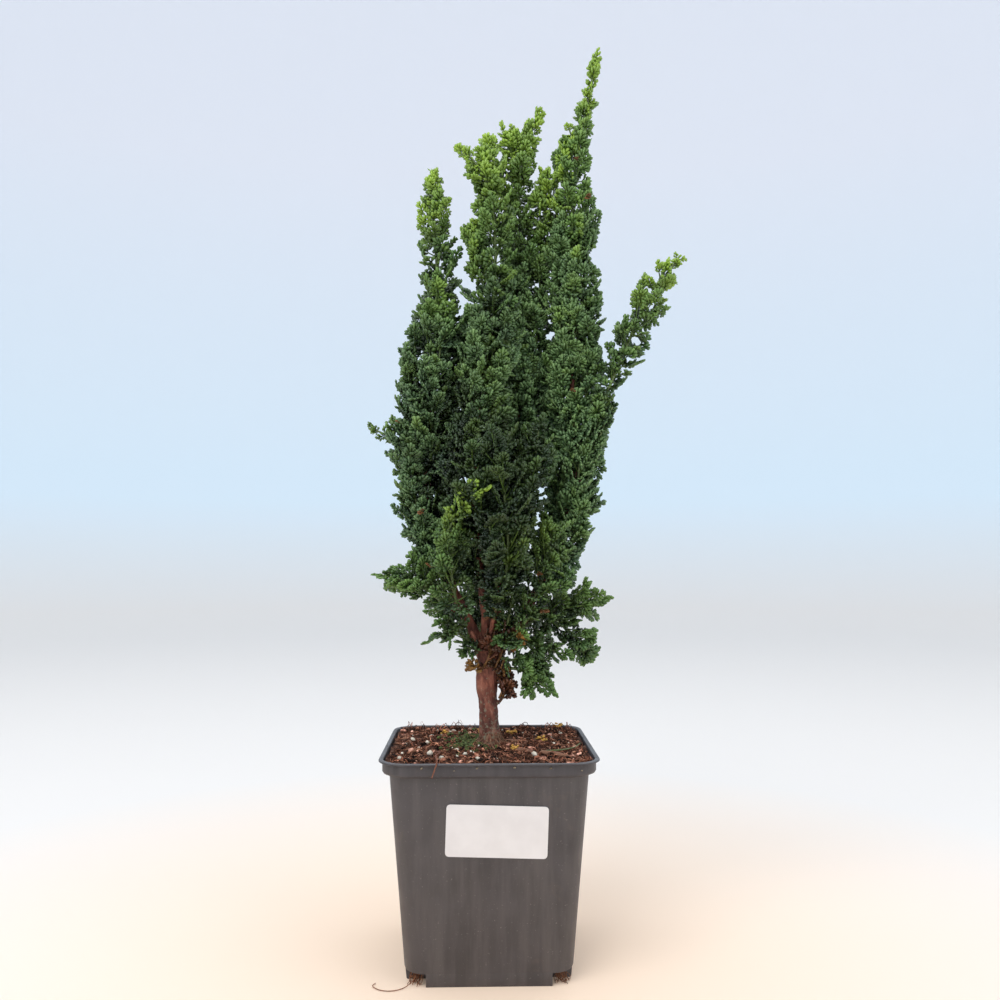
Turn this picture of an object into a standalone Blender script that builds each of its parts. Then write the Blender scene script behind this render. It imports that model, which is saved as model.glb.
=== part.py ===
"""Hinoki cypress bonsai in a square nursery pot, built at real size.

Origin: centre of the pot's underside. +Z up, -Y is the front with the label.
"""

import math
import random

import bmesh
import bpy
from mathutils import Matrix, Vector
from mathutils.bvhtree import BVHTree

MM = 0.001
CLEARANCE = 0.3 * MM
SEED = 37

# Pot, in millimetres: half widths and corner radii of its rounded-square sections, at their heights
POT_HEIGHT = 110.0
RIM_HALF, RIM_CORNER = 55.0, 15.0
RIM_THICKNESS = 1.6
RIM_INNER_HALF, RIM_INNER_CORNER = 51.2, 12.5
BAND_HALF, BAND_CORNER = 53.3, 13.5
BAND_BOTTOM = 102.0
BAND_ROUND = 1.8
BODY_TOP_HALF, BODY_BASE_HALF = 50.0, 41.4
BODY_CORNER = 12.0
WALL = 1.4
FLOOR = 1.6
FOOT_HALF = 31.0
NOTCH_HEIGHT = 6.0
DRAIN_RADIUS = 2.6
CORNER_STEPS = 3

# Label, in millimetres
LABEL_WIDTH, LABEL_HEIGHT, LABEL_THICKNESS = 50.0, 25.5, 0.4
LABEL_CORNER = 1.8
LABEL_CENTRE_X, LABEL_CENTRE_Z = 3.6, 76.2
LABEL_TILT = math.radians(-1.8)
LABEL_GAP = 0.12

# Soil, in millimetres
SOIL_TOP = 106.0
SOIL_BUMP = 1.4
SOIL_EDGE_DROP = 1.6
SOIL_LOWEST = 104.2
SOIL_GRID = 9
TRUNK_BURIED = 28.0

# Leaf blades and their stems, in millimetres
BLADE_THICKNESS = 0.7
BLADE_GROWN = 0.3
FAN_ASPECT = 0.84
FAN_MIN, FAN_MAX = 8.0, 26.0
FAN_SUNK = 1.2
LARGE_FANS = 3
SMALL_FAN = LARGE_FANS
SMALL_UNDER = 13.0
FROND_START, FROND_CUT, FROND_CUP = 0.1, 0.24, 0.1
SIDE_FANS, SIDE_LOBES = (1, 2, 2), 5
STEM_SIDES = 4
STEM_ROOT, STEM_TIP = 0.9, 0.6
STEM_GROWN = 0.25
STEM_TRIES = (0.0, 0.2, 0.4, 0.7, 1.0, 1.4)
TIP_GAP = 0.7
TRIES = 24
TURNS, TRIMS = 12, 9


# Scene and materials


def clear_scene():
    for item in list(bpy.data.objects):
        bpy.data.objects.remove(item, do_unlink=True)


def new_collection(name, hidden=False):
    made = bpy.data.collections.new(name)
    bpy.context.scene.collection.children.link(made)
    made.hide_render = hidden
    return made


def material(name, colour, roughness, metallic=0.0):
    made = bpy.data.materials.new(name)
    made.use_nodes = True
    shader = made.node_tree.nodes["Principled BSDF"]
    shader.inputs["Base Color"].default_value = (*colour, 1.0)
    shader.inputs["Roughness"].default_value = roughness
    shader.inputs["Metallic"].default_value = metallic
    made.diffuse_color = (*colour, 1.0)
    return made


def add_object(name, mesh, collection, look=None):
    item = bpy.data.objects.new(name, mesh)
    collection.objects.link(item)
    if look:
        mesh.materials.clear()
        mesh.materials.append(look)
    else:
        item.display_type = "WIRE"
    return item


def mesh_from_bmesh(name, bm):
    bmesh.ops.recalc_face_normals(bm, faces=bm.faces)
    mesh = bpy.data.meshes.new(name)
    bm.to_mesh(mesh)
    bm.free()
    return mesh


def evaluated_mesh(item):
    """The object's mesh with its modifiers applied, in world space."""
    bpy.context.view_layer.update()
    graph = bpy.context.evaluated_depsgraph_get()
    mesh = bpy.data.meshes.new_from_object(item.evaluated_get(graph))
    mesh.transform(item.matrix_world)
    return mesh


def mesh_from_curve(name, curve, collection):
    """A closed mesh of a bevelled or extruded curve, its caps welded, and the curve removed."""
    guide = bpy.data.objects.new(name, curve)
    collection.objects.link(guide)
    mesh = evaluated_mesh(guide)
    bpy.data.objects.remove(guide, do_unlink=True)
    bpy.data.curves.remove(curve)
    bm = bmesh.new()
    bm.from_mesh(mesh)
    bpy.data.meshes.remove(mesh)
    bmesh.ops.remove_doubles(bm, verts=bm.verts, dist=0.002 * MM)
    return mesh_from_bmesh(name, bm)


def boolean(item, other, operation, solver="EXACT"):
    """Cuts or joins with an object or a collection, and keeps only the result."""
    cut = item.modifiers.new("boolean", "BOOLEAN")
    cut.operation = operation
    cut.solver = solver
    if isinstance(other, bpy.types.Collection):
        cut.operand_type = "COLLECTION"
        cut.collection = other
        helpers = list(other.objects)
    else:
        cut.object = other
        helpers = [other]
    mesh = evaluated_mesh(item)
    item.modifiers.clear()
    old = item.data
    looks = list(old.materials)
    item.data = mesh
    mesh.name = item.name
    mesh.materials.clear()
    for look in looks[:1]:
        mesh.materials.append(look)
    mesh.polygons.foreach_set("material_index", [0] * len(mesh.polygons))
    bpy.data.meshes.remove(old)
    for helper in helpers:
        bpy.data.objects.remove(helper, do_unlink=True)
    return item


# Pot, soil and label


def rounded_square(half, corner, z, steps=CORNER_STEPS):
    """Corner points of a rounded square section, in metres, anticlockwise from above."""
    points = []
    for quarter, (sx, sy) in enumerate(((1, 1), (-1, 1), (-1, -1), (1, -1))):
        centre = Vector((sx * (half - corner), sy * (half - corner), z))
        for step in range(steps + 1):
            angle = math.pi / 2 * (quarter + step / steps)
            arm = Vector((math.cos(angle), math.sin(angle), 0)) * corner
            points.append((centre + arm) * MM)
    return points


def loft(name, sections):
    """A closed solid through rounded-square sections, listed from one end cap to the other."""
    bm = bmesh.new()
    rings = [[bm.verts.new(point) for point in rounded_square(*section)] for section in sections]
    for low, high in zip(rings, rings[1:]):
        for i in range(len(low)):
            j = (i + 1) % len(low)
            bm.faces.new((low[i], low[j], high[j], high[i]))
    bm.faces.new(reversed(rings[0]))
    bm.faces.new(rings[-1])
    return mesh_from_bmesh(name, bm)


def body_half(z):
    """Half width of the tapered outer wall at height z, in millimetres."""
    return BODY_BASE_HALF + (BODY_TOP_HALF - BODY_BASE_HALF) * z / BAND_BOTTOM


def box(name, low, high, collection):
    bm = bmesh.new()
    bmesh.ops.create_cube(bm, size=1.0)
    low, high = Vector(low) * MM, Vector(high) * MM
    bmesh.ops.scale(bm, verts=bm.verts, vec=high - low)
    bmesh.ops.translate(bm, verts=bm.verts, vec=(low + high) / 2)
    return add_object(name, mesh_from_bmesh(name, bm), collection)


def corner_blocks(inset, top, cutters):
    """Four square blocks under the pot's corners, outside the cross-shaped foot."""
    reach = BODY_TOP_HALF
    group = bpy.data.collections.new("corner_blocks")
    cutters.children.link(group)
    for sx in (-1, 1):
        for sy in (-1, 1):
            xs = sorted((sx * (FOOT_HALF - inset), sx * reach))
            ys = sorted((sy * (FOOT_HALF - inset), sy * reach))
            box("corner_block", (xs[0], ys[0], -1.0), (xs[1], ys[1], top), group)
    return group


def drain_pins(cutters):
    group = bpy.data.collections.new("drain_pins")
    cutters.children.link(group)
    place = (FOOT_HALF + body_half(NOTCH_HEIGHT)) / 2 - 1.4
    for sx in (-1, 1):
        for sy in (-1, 1):
            bm = bmesh.new()
            spot = Matrix.Translation(Vector((sx * place, sy * place, NOTCH_HEIGHT)) * MM)
            bmesh.ops.create_cone(
                bm, cap_ends=True, segments=10, radius1=DRAIN_RADIUS * MM,
                radius2=DRAIN_RADIUS * MM, depth=8 * MM, matrix=spot,
            )
            add_object("drain_pin", mesh_from_bmesh("drain_pin", bm), group)
    return group


def cavity(name, gap, top, cutters):
    """The pot's inside, gap millimetres clear of its walls, up to the height top."""
    step = WALL + gap
    sections = [(body_half(FLOOR) - step, BODY_CORNER - step, FLOOR + gap)]
    shoulder = BAND_BOTTOM - 1.0
    sections.append((body_half(shoulder) - step, BODY_CORNER - step, shoulder))
    if top > BAND_BOTTOM + 1.0:
        sections.append((RIM_INNER_HALF - gap, RIM_INNER_CORNER - gap, BAND_BOTTOM + 1.0 + gap))
        sections.append((RIM_INNER_HALF - gap, RIM_INNER_CORNER - gap, top))
    item = add_object(name, loft(name, sections), cutters)
    blocks = corner_blocks(WALL + gap, NOTCH_HEIGHT + FLOOR + gap, cutters)
    return boolean(item, blocks, "DIFFERENCE")


def build_pot(parts, cutters):
    outside = [
        (body_half(0) - 0.4, BODY_CORNER - 0.4, 0.0),
        (body_half(1), BODY_CORNER, 1.0),
        (BODY_TOP_HALF, BODY_CORNER, BAND_BOTTOM),
        (BAND_HALF - BAND_ROUND, BAND_CORNER - BAND_ROUND, BAND_BOTTOM + 0.1),
        (BAND_HALF - 0.5, BAND_CORNER - 0.5, BAND_BOTTOM + 0.6),
        (BAND_HALF, BAND_CORNER, BAND_BOTTOM + BAND_ROUND),
        (BAND_HALF, BAND_CORNER, POT_HEIGHT - RIM_THICKNESS),
        (RIM_HALF - 0.4, RIM_CORNER - 0.4, POT_HEIGHT - RIM_THICKNESS + 0.05),
        (RIM_HALF, RIM_CORNER, POT_HEIGHT - RIM_THICKNESS + 0.45),
        (RIM_HALF, RIM_CORNER, POT_HEIGHT - 0.45),
        (RIM_HALF - 0.45, RIM_CORNER - 0.45, POT_HEIGHT),
    ]
    look = material("pot_plastic", (0.075, 0.072, 0.074), 0.5)
    pot = add_object("pot", loft("pot", outside), parts, look)
    boolean(pot, cavity("pot_inside", 0.0, POT_HEIGHT + 5, cutters), "DIFFERENCE")
    boolean(pot, corner_blocks(0.0, NOTCH_HEIGHT, cutters), "DIFFERENCE")
    boolean(pot, drain_pins(cutters), "DIFFERENCE")
    pot.data.shade_smooth()
    pot.data.set_sharp_from_angle(angle=math.radians(30))
    return pot


def soil_height(x, y):
    """Bumpy top of the soil, in millimetres, a little lower along the walls."""
    waves = math.sin(0.31 * x + 1.1) * math.cos(0.27 * y - 0.4)
    waves += 0.6 * math.sin(0.55 * x - 0.42 * y) + 0.5 * math.cos(0.61 * y + 0.23 * x + 2.0)
    edge = max(abs(x), abs(y)) / RIM_INNER_HALF
    return max(SOIL_LOWEST, SOIL_TOP + SOIL_BUMP * waves / 1.6 - SOIL_EDGE_DROP * edge**4)


def build_soil(parts, cutters, hole):
    """The block of soil: the pot's inside cut off by a bumpy sheet, with a plain hole for the trunk."""
    look = material("soil", (0.10, 0.045, 0.028), 0.95)
    soil = cavity("soil", CLEARANCE / MM, POT_HEIGHT + 2, cutters)
    cutters.objects.unlink(soil)
    parts.objects.link(soil)
    soil.display_type = "TEXTURED"
    soil.data.materials.append(look)
    bm = bmesh.new()
    side = 2 * RIM_HALF
    bmesh.ops.create_grid(bm, x_segments=SOIL_GRID, y_segments=SOIL_GRID, size=side / 2 * MM)
    sheet = list(bm.verts)
    for vert in sheet:
        vert.co.z = soil_height(vert.co.x / MM, vert.co.y / MM) * MM
    lifted = bmesh.ops.extrude_face_region(bm, geom=list(bm.faces))["geom"]
    for vert in lifted:
        if isinstance(vert, bmesh.types.BMVert):
            vert.co.z = (POT_HEIGHT + 20) * MM
    cover = add_object("soil_cover", mesh_from_bmesh("soil_cover", bm), cutters)
    boolean(soil, cover, "DIFFERENCE", "MANIFOLD")
    boolean(soil, hole, "DIFFERENCE", "MANIFOLD")
    return soil


def build_label(parts, cutters):
    outline = bpy.data.curves.new("label_outline", "CURVE")
    outline.dimensions = "2D"
    outline.fill_mode = "BOTH"
    outline.extrude = LABEL_THICKNESS / 2 * MM
    line = outline.splines.new("POLY")
    points = []
    for quarter, (sx, sy) in enumerate(((1, 1), (-1, 1), (-1, -1), (1, -1))):
        for step in range(CORNER_STEPS + 1):
            angle = math.pi / 2 * (quarter + step / CORNER_STEPS)
            x = sx * (LABEL_WIDTH / 2 - LABEL_CORNER) + LABEL_CORNER * math.cos(angle)
            y = sy * (LABEL_HEIGHT / 2 - LABEL_CORNER) + LABEL_CORNER * math.sin(angle)
            points.append((x, y))
    line.points.add(len(points) - 1)
    for point, (x, y) in zip(line.points, points):
        point.co = (x * MM, y * MM, 0, 1)
    line.use_cyclic_u = True
    mesh = mesh_from_curve("label", outline, cutters)
    label = add_object("label", mesh, parts, material("label_paper", (0.86, 0.86, 0.84), 0.55))
    slope = math.atan2(BODY_TOP_HALF - BODY_BASE_HALF, BAND_BOTTOM)
    wall = Vector((LABEL_CENTRE_X, -body_half(LABEL_CENTRE_Z), LABEL_CENTRE_Z))
    out = Vector((0, -math.cos(slope), -math.sin(slope)))
    place = wall + out * (LABEL_THICKNESS / 2 + LABEL_GAP)
    stand = Matrix.Rotation(math.pi / 2 + slope, 4, "X") @ Matrix.Rotation(LABEL_TILT, 4, "Z")
    label.matrix_world = Matrix.Translation(place * MM) @ stand
    return label


# Wood


def smooth_path(points, step=9.0):
    """Catmull-Rom through hand-set (x, y, z, value) points, read about every step millimetres."""
    ends = [2 * Vector(points[0]) - Vector(points[1])]
    knots = ends + [Vector(p) for p in points] + [2 * Vector(points[-1]) - Vector(points[-2])]
    path = [knots[1].copy()]
    for a, b, c, d in zip(knots, knots[1:], knots[2:], knots[3:]):
        count = max(1, round((c - b).to_3d().length / step))
        for i in range(1, count + 1):
            t = i / count
            path.append(
                0.5 * (2 * b + (c - a) * t + (2 * a - 5 * b + 4 * c - d) * t**2
                       + (3 * b - a - 3 * c + d) * t**3)
            )
    return path


def tube(name, points, radii, sides, collection):
    """A closed round tube along points, in millimetres, with a radius for each."""
    curve = bpy.data.curves.new(name, "CURVE")
    curve.dimensions = "3D"
    curve.bevel_depth = MM
    curve.bevel_resolution = sides // 2 - 2
    curve.use_fill_caps = True
    line = curve.splines.new("POLY")
    line.points.add(len(points) - 1)
    for point, place, radius in zip(line.points, points, radii):
        point.co = (*(Vector(place[:3]) * MM), 1)
        point.radius = radius
    return mesh_from_curve(name, curve, collection)


# Each leader: hand-set points of its stem as (x, y, z, foliage radius), its bark radius at the fork and at the end
# of its brown wood, the share of its length that is brown, and the tiers of side branchlets as (start, end, count, turn)
LEADERS = {
    "left": dict(
        route=[(-1, 0, 152, 0), (-9, -2, 172, 6), (-20, -4, 192, 12), (-30, -5, 222, 16), (-34, -6, 255, 18.5),
               (-33, -7, 290, 19), (-30, -8, 324, 17), (-28.5, -8, 350, 13), (-29, -8, 372, 10.5),
               (-31, -8, 395, 9.5), (-32.3, -8, 414, 6), (-32.5, -8, 429, 3)],
        bark=(3.9, 1.3), brown=0.62,
        tiers=[(0.18, 0.42, 3, 200), (0.38, 0.66, 3, 260)],
        fans=3, lobes=5,
    ),
    "front": dict(
        route=[(-1, -1, 154, 0), (-2, -8, 182, 8), (-6, -15, 212, 14), (-8, -18, 250, 17.5), (-5, -17, 290, 17),
               (0, -15, 325, 15.5), (3, -14, 360, 13.5), (1, -13, 395, 12.5), (-5, -12, 418, 9),
               (-13, -12, 432, 6), (-19.5, -13, 439, 3)],
        bark=(3.0, 1.2), brown=0.62,
        tiers=[(0.14, 0.40, 2, 290), (0.37, 0.66, 3, 310)],
        fans=3, lobes=5,
    ),
    "middle": dict(
        route=[(0, 1, 154, 0), (6, 5, 184, 7), (12, 9, 215, 12), (15, 11, 250, 15.5), (17, 11, 290, 16.5),
               (19, 11, 330, 16), (20, 10, 370, 14.5), (19, 9, 405, 14), (19, 8, 435, 11),
               (24, 8, 455, 5.5), (31, 8, 470, 3)],
        bark=(3.4, 1.3), brown=0.66,
        tiers=[(0.16, 0.42, 3, 20), (0.39, 0.69, 3, 80)],
        fans=3, lobes=5,
    ),
    "right": dict(
        route=[(0, 0, 150, 0), (10, 3, 168, 4), (25, 4, 188, 9), (40, 5, 215, 14), (47, 5, 245, 16),
               (48, 5, 280, 17), (47, 4, 315, 16), (48, 4, 350, 15), (47.5, 4, 385, 14.5),
               (48.5, 4, 415, 13), (51, 4, 445, 8.5), (56, 4, 468, 6), (59.5, 4, 485, 4.5), (62.3, 4, 500, 2.5)],
        bark=(4.1, 1.3), brown=0.62,
        tiers=[(0.16, 0.38, 3, 10), (0.36, 0.56, 3, 70), (0.53, 0.72, 2, 300)],
        fans=4, lobes=7,
    ),
    "far_right": dict(
        route=[(43, 5, 226, 0), (53, -2, 258, 5), (63, -7, 290, 8), (75, -9, 320, 10.5), (86, -10, 343, 9.5),
               (97, -10, 362, 7.5), (107, -10, 378, 3)],
        bark=(2.0, 1.1), brown=0.2,
        tiers=[(0.20, 0.44, 2, 60)],
        fans=3, lobes=6,
    ),
    "back": dict(
        route=[(0, 2, 156, 0), (4, 16, 186, 8), (8, 29, 222, 14), (10, 36, 262, 16), (10, 37, 305, 15),
               (11, 36, 340, 12), (13, 34, 368, 8), (14, 33, 388, 3)],
        bark=(3.0, 1.3), brown=0.58,
        tiers=[(0.16, 0.45, 2, 110), (0.42, 0.72, 3, 90)],
        fans=3, lobes=5,
    ),
    "low_front": dict(
        route=[(-1, -3, 160, 0), (3, -16, 180, 6), (9, -28, 203, 10), (9, -36, 230, 11.5), (5, -39, 258, 9),
               (1, -39, 280, 3)],
        bark=(2.0, 1.0), brown=0.34,
        tiers=[(0.24, 0.62, 1, 300)],
        fans=3, lobes=5,
    ),
    "low_left": dict(
        route=[(-12, -3, 177, 0), (-23, -12, 184, 6), (-36, -17, 193, 9), (-48, -16, 199, 9), (-57, -15, 192, 3)],
        bark=(1.7, 0.9), brown=0.25, tiers=[], fans=2, lobes=5,
    ),
    "low_left_under": dict(
        route=[(-4, -2, 157, 0), (-12, -9, 165, 5), (-21, -14, 170, 9), (-31, -17, 167, 3)],
        bark=(1.6, 0.9), brown=0.25, tiers=[], fans=2, lobes=3,
    ),
    "low_front_left": dict(
        route=[(-2, -3, 159, 0), (-10, -15, 171, 7), (-17, -24, 186, 11), (-20, -28, 204, 10), (-19, -30, 220, 3)],
        bark=(1.6, 0.9), brown=0.25, tiers=[], fans=1, lobes=4,
    ),
    "low_front_right": dict(
        route=[(6, 1, 166, 0), (16, -12, 177, 7), (25, -20, 191, 11), (31, -22, 208, 10), (33, -23, 224, 3)],
        bark=(1.6, 0.9), brown=0.25, tiers=[], fans=1, lobes=4,
    ),
    "low_right": dict(
        route=[(14, 2, 173, 0), (27, -3, 177, 7), (41, -6, 180, 10), (54, -8, 180, 9), (66, -9, 176, 3)],
        bark=(1.8, 0.9), brown=0.2, tiers=[], fans=2, lobes=5,
    ),
    "low_right_hanging": dict(
        route=[(1, -3, 149, 0), (11, -8, 151, 5), (19, -11, 148, 6), (24.5, -12, 141, 5.5), (26, -12, 132, 3)],
        bark=(1.5, 0.9), brown=0.3, tiers=[], fans=2, lobes=3,
    ),
    "low_back": dict(
        route=[(-1, 2, 157, 0), (-9, 16, 170, 7), (-17, 29, 180, 10), (-25, 41, 184, 3)],
        bark=(1.7, 0.9), brown=0.25, tiers=[], fans=2, lobes=4,
    ),
    "low_back_right": dict(
        route=[(3, 3, 158, 0), (17, 15, 168, 7), (31, 25, 177, 10), (43, 33, 184, 3)],
        bark=(1.7, 0.9), brown=0.25, tiers=[], fans=2, lobes=4,
    ),
    "dead_tuft": dict(
        route=[(3, -1, 130, 0), (7, -3, 133, 4), (9.5, -4, 138, 4), (10.5, -5, 143, 2)],
        bark=(1.3, 0.9), brown=0.3, tiers=[], fans=1, lobes=3, look="dead",
    ),
    "side_left_back": dict(
        route=[(-12, -2, 178, 0), (-19, 9, 196, 8), (-27, 18, 224, 12), (-29, 22, 260, 12), (-27, 23, 294, 3)],
        bark=(1.7, 0.9), brown=0.25, tiers=[], fans=3, lobes=5,
    ),
    "side_right_back": dict(
        route=[(38, 6, 210, 0), (42, 18, 230, 8), (40, 28, 256, 11), (37, 31, 286, 9), (36, 32, 312, 3)],
        bark=(1.7, 0.9), brown=0.25, tiers=[], fans=3, lobes=5,
    ),
}

TRUNK_ROUTE = [
    (1.0, 0, SOIL_TOP - TRUNK_BURIED, 5.0), (1.2, 0, 100, 6.6), (1.0, 0, 107, 6.9), (0.6, 0, 113, 5.9),
    (-0.4, 0, 132, 5.1), (-0.8, 0, 145, 5.6), (-0.6, 0, 156, 5.2), (0, 0.4, 163, 3.2),
]
HOLE_GAP = 0.35


class Leader:
    """One upright or side stem with its sampled path, ready to be asked for places along it."""

    def __init__(self, name, facts):
        self.name = name
        self.facts = facts
        self.path = smooth_path(facts["route"])
        self.lengths = [0.0]
        for a, b in zip(self.path, self.path[1:]):
            self.lengths.append(self.lengths[-1] + (b - a).to_3d().length)

    def at(self, share):
        """Place, direction and foliage radius at a share of the length."""
        want = share * self.lengths[-1]
        i = 0
        while i < len(self.path) - 2 and self.lengths[i + 1] < want:
            i += 1
        t = (want - self.lengths[i]) / (self.lengths[i + 1] - self.lengths[i])
        here = self.path[i].lerp(self.path[i + 1], t)
        along = (self.path[i + 1] - self.path[i]).to_3d().normalized()
        return here.to_3d(), along, here[3]

    def bark_radius(self, share):
        start, end = self.facts["bark"]
        t = min(1.0, share / self.facts["brown"])
        return start + (end - start) * t**0.7


def side_vector(along, turn):
    """A unit vector square to along, turned by an angle round it from the front."""
    front = Vector((0, -1, 0))
    base = (front - along * front.dot(along)).normalized()
    return Matrix.Rotation(turn, 3, along) @ base


def build_trunk(leaders, parts, cutters):
    """Trunk and the brown wood of every leader, joined in one solid, and the cutter for its hole in the soil."""
    route = smooth_path(TRUNK_ROUTE, 7.0)
    mesh = tube("trunk", route, [p[3] for p in route], 10, cutters)
    trunk = add_object("trunk", mesh, parts, material("bark", (0.19, 0.085, 0.055), 0.85))
    joined = bpy.data.collections.new("branches")
    cutters.children.link(joined)
    for leader in leaders:
        brown = leader.facts["brown"]
        count = max(2, round(brown * leader.lengths[-1] / 26))
        shares = [brown * i / count for i in range(count + 1)]
        places = [leader.at(s)[0] for s in shares]
        radii = [leader.bark_radius(s) for s in shares]
        sides = 6 if leader.facts["bark"][0] > 2.5 else 4
        add_object("branch", tube("branch", places, radii, sides, cutters), joined)
    boolean(trunk, joined, "UNION")
    trunk.data.shade_smooth()
    low = [p for p in route if p[2] < SOIL_TOP + 12]
    grown = [p[3] + HOLE_GAP for p in low]
    low[0] = low[0] - Vector((0, 0, HOLE_GAP, 0))
    hole = add_object("trunk_hole", tube("trunk_hole", low, grown, 10, cutters), cutters)
    return trunk, hole


# Foliage


def fan_outline(kind):
    """Outline of a flattened fan with blunt lobes cut to its rib, 1 long and about 0.8 wide."""
    if kind == SMALL_FAN:
        right = [(0.40, 0.38), (0.36, 0.62), (0.13, 0.56)]
        left = [(0.37, 0.32), (0.36, 0.54), (0.13, 0.52)]
        tip = [(0.12, 0.96), (-0.08, 1.0)]
    else:
        lean = (-0.05, 0.04, 0.0)[kind]
        right = [(0.37 + lean, 0.34), (0.34 + lean, 0.52), (0.12, 0.46), (0.41, 0.74), (0.30, 0.90), (0.11, 0.74)]
        left = [(0.35, 0.28 - lean), (0.36, 0.46 - lean), (0.12, 0.42), (0.38, 0.68), (0.31, 0.84), (0.10, 0.70)]
        tip = [(0.01, 1.0)]
    return [(0.0, 0.0)] + right + tip + [(-x, y) for x, y in reversed(left)]


def frond_outline(lobes, rng):
    """Outline of a long frond with lobes cut to its rib on both sides, 1 long, its half width 1 at the lobes' tips."""
    pitch = (1 - FROND_START) / (lobes + 0.5)
    sides = []
    for side in (1, -1):
        points = []
        for i in range(lobes):
            low = FROND_START + pitch * (i + (0.0 if side > 0 else 0.45)) + pitch * rng.uniform(-0.06, 0.06)
            wide = rng.uniform(0.88, 1.08)
            points.append((side * wide, low + 0.50 * pitch))
            points.append((side * 0.84 * wide, low + 1.02 * pitch))
            points.append((side * FROND_CUT, low + 0.84 * pitch))
        sides.append(points)
    return [(0.0, 0.02)] + sides[0] + [(0.0, 1.04)] + sides[1][::-1]


def flat_blade(outline, cutters):
    """A flat solid of an outline, 1 thick, with both its faces split into the same triangles."""
    curve = bpy.data.curves.new("blade", "CURVE")
    curve.dimensions = "2D"
    curve.fill_mode = "BOTH"
    curve.extrude = 0.5
    line = curve.splines.new("POLY")
    line.points.add(len(outline) - 1)
    for point, (x, y) in zip(line.points, outline):
        point.co = (x, y, 0, 1)
    line.use_cyclic_u = True
    return mesh_from_curve("blade", curve, cutters)


def place_fan(shape, matrix, length, arch, grown=0.0):
    """A copy of a unit fan, arched down along its length, at its true thickness. grown widens it all round."""
    mesh = shape.copy()
    width = length * FAN_ASPECT
    for vert in mesh.vertices:
        x, y, z = vert.co
        along = y * (length + 2 * grown) - grown
        level = z * (BLADE_THICKNESS + 2 * grown) - arch * length * y * y
        vert.co = matrix @ Vector((x * (width + 2 * grown), along, level)) * MM
    return mesh


def lobe_of(x, y, lobes):
    """Side and number of the frond's lobe at a point of its outline."""
    pitch = (1 - FROND_START) / (lobes + 0.5)
    low = FROND_START + (0.0 if x > 0 else 0.45 * pitch)
    return x > 0, min(lobes - 1, max(0, int((y - low) / pitch)))


def place_frond(shape, spray, sideways, trims, grown=0.0):
    """A copy of a unit frond laid along a spray's stem, cupped round the leader. trims shortens single lobes."""
    mesh = shape.copy()
    for vert in mesh.vertices:
        x, y, z = vert.co
        if abs(x) > 1.5 * FROND_CUT:
            x *= trims.get(lobe_of(x, y, spray.lobes), 1.0)
        place, along = spray.at(min(1.0, max(0.0, y)))
        place = place + along * max(0.0, y - 1.0) * spray.length
        face = spray.face - along * spray.face.dot(along)
        face = Matrix.Rotation(sideways, 3, along) @ face.normalized()
        across = along.cross(face)
        half = spray.width(y)
        level = z * (BLADE_THICKNESS + 2 * grown) - FROND_CUP * half * x * x
        vert.co = (place + across * (x * half + math.copysign(grown, x)) + face * level) * MM
    return mesh


def tree_of(mesh):
    return BVHTree.FromPolygons([v.co.copy() for v in mesh.vertices], [p.vertices[:] for p in mesh.polygons])


class Spray:
    """One green node: a stem, a frond laid along it, and the fans that stand out of it."""

    def __init__(self, name, leader, span, places, colour):
        self.name = name
        self.leader = leader
        self.span = span
        self.places = places
        self.colour = colour
        self.length = sum((b - a).length for a, b in zip(places, places[1:]))
        self.meshes = []
        self.trees = []

    def at(self, share):
        spot = share * (len(self.places) - 1)
        i = min(int(spot), len(self.places) - 2)
        along = (self.places[i + 1] - self.places[i]).normalized()
        return self.places[i].lerp(self.places[i + 1], spot - i), along

    def width(self, share):
        """Half width of the frond, from the leader's foliage radius there."""
        share = min(1.0, max(0.0, share))
        overall = self.span[0] + (self.span[1] - self.span[0]) * share
        radius = self.leader.at(min(1.0, overall))[2]
        if self.colour != "side":
            return max(2.6, radius * (0.94 - 0.25 * share))
        away = branchlet_offset(self.leader, overall, share)
        return min(1.5 * away, 0.86 * radius) * (1 - 0.25 * share**3)

    def add(self, mesh):
        self.meshes.append(mesh)
        self.trees.append(tree_of(mesh))


def branchlet_offset(leader, share, t):
    """Distance of a side branchlet from its leader's axis, t of the way along it."""
    radius = leader.at(share)[2]
    least = leader.bark_radius(share) + STEM_ROOT + CLEARANCE / MM
    return max(least, least + (0.5 * radius - least) * min(1.0, 1.7 * t) + 0.2 * radius * t**3)


def branchlet_route(leader, start, end, turn, steps=4):
    """Stem of a side branchlet: it leaves the leader's bark, climbs beside it and leans out at its tip."""
    places = []
    for i in range(steps + 1):
        t = i / steps
        share = start + (end - start) * t
        here, along, _ = leader.at(share)
        places.append(here + side_vector(along, turn) * branchlet_offset(leader, share, t))
    return places


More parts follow.
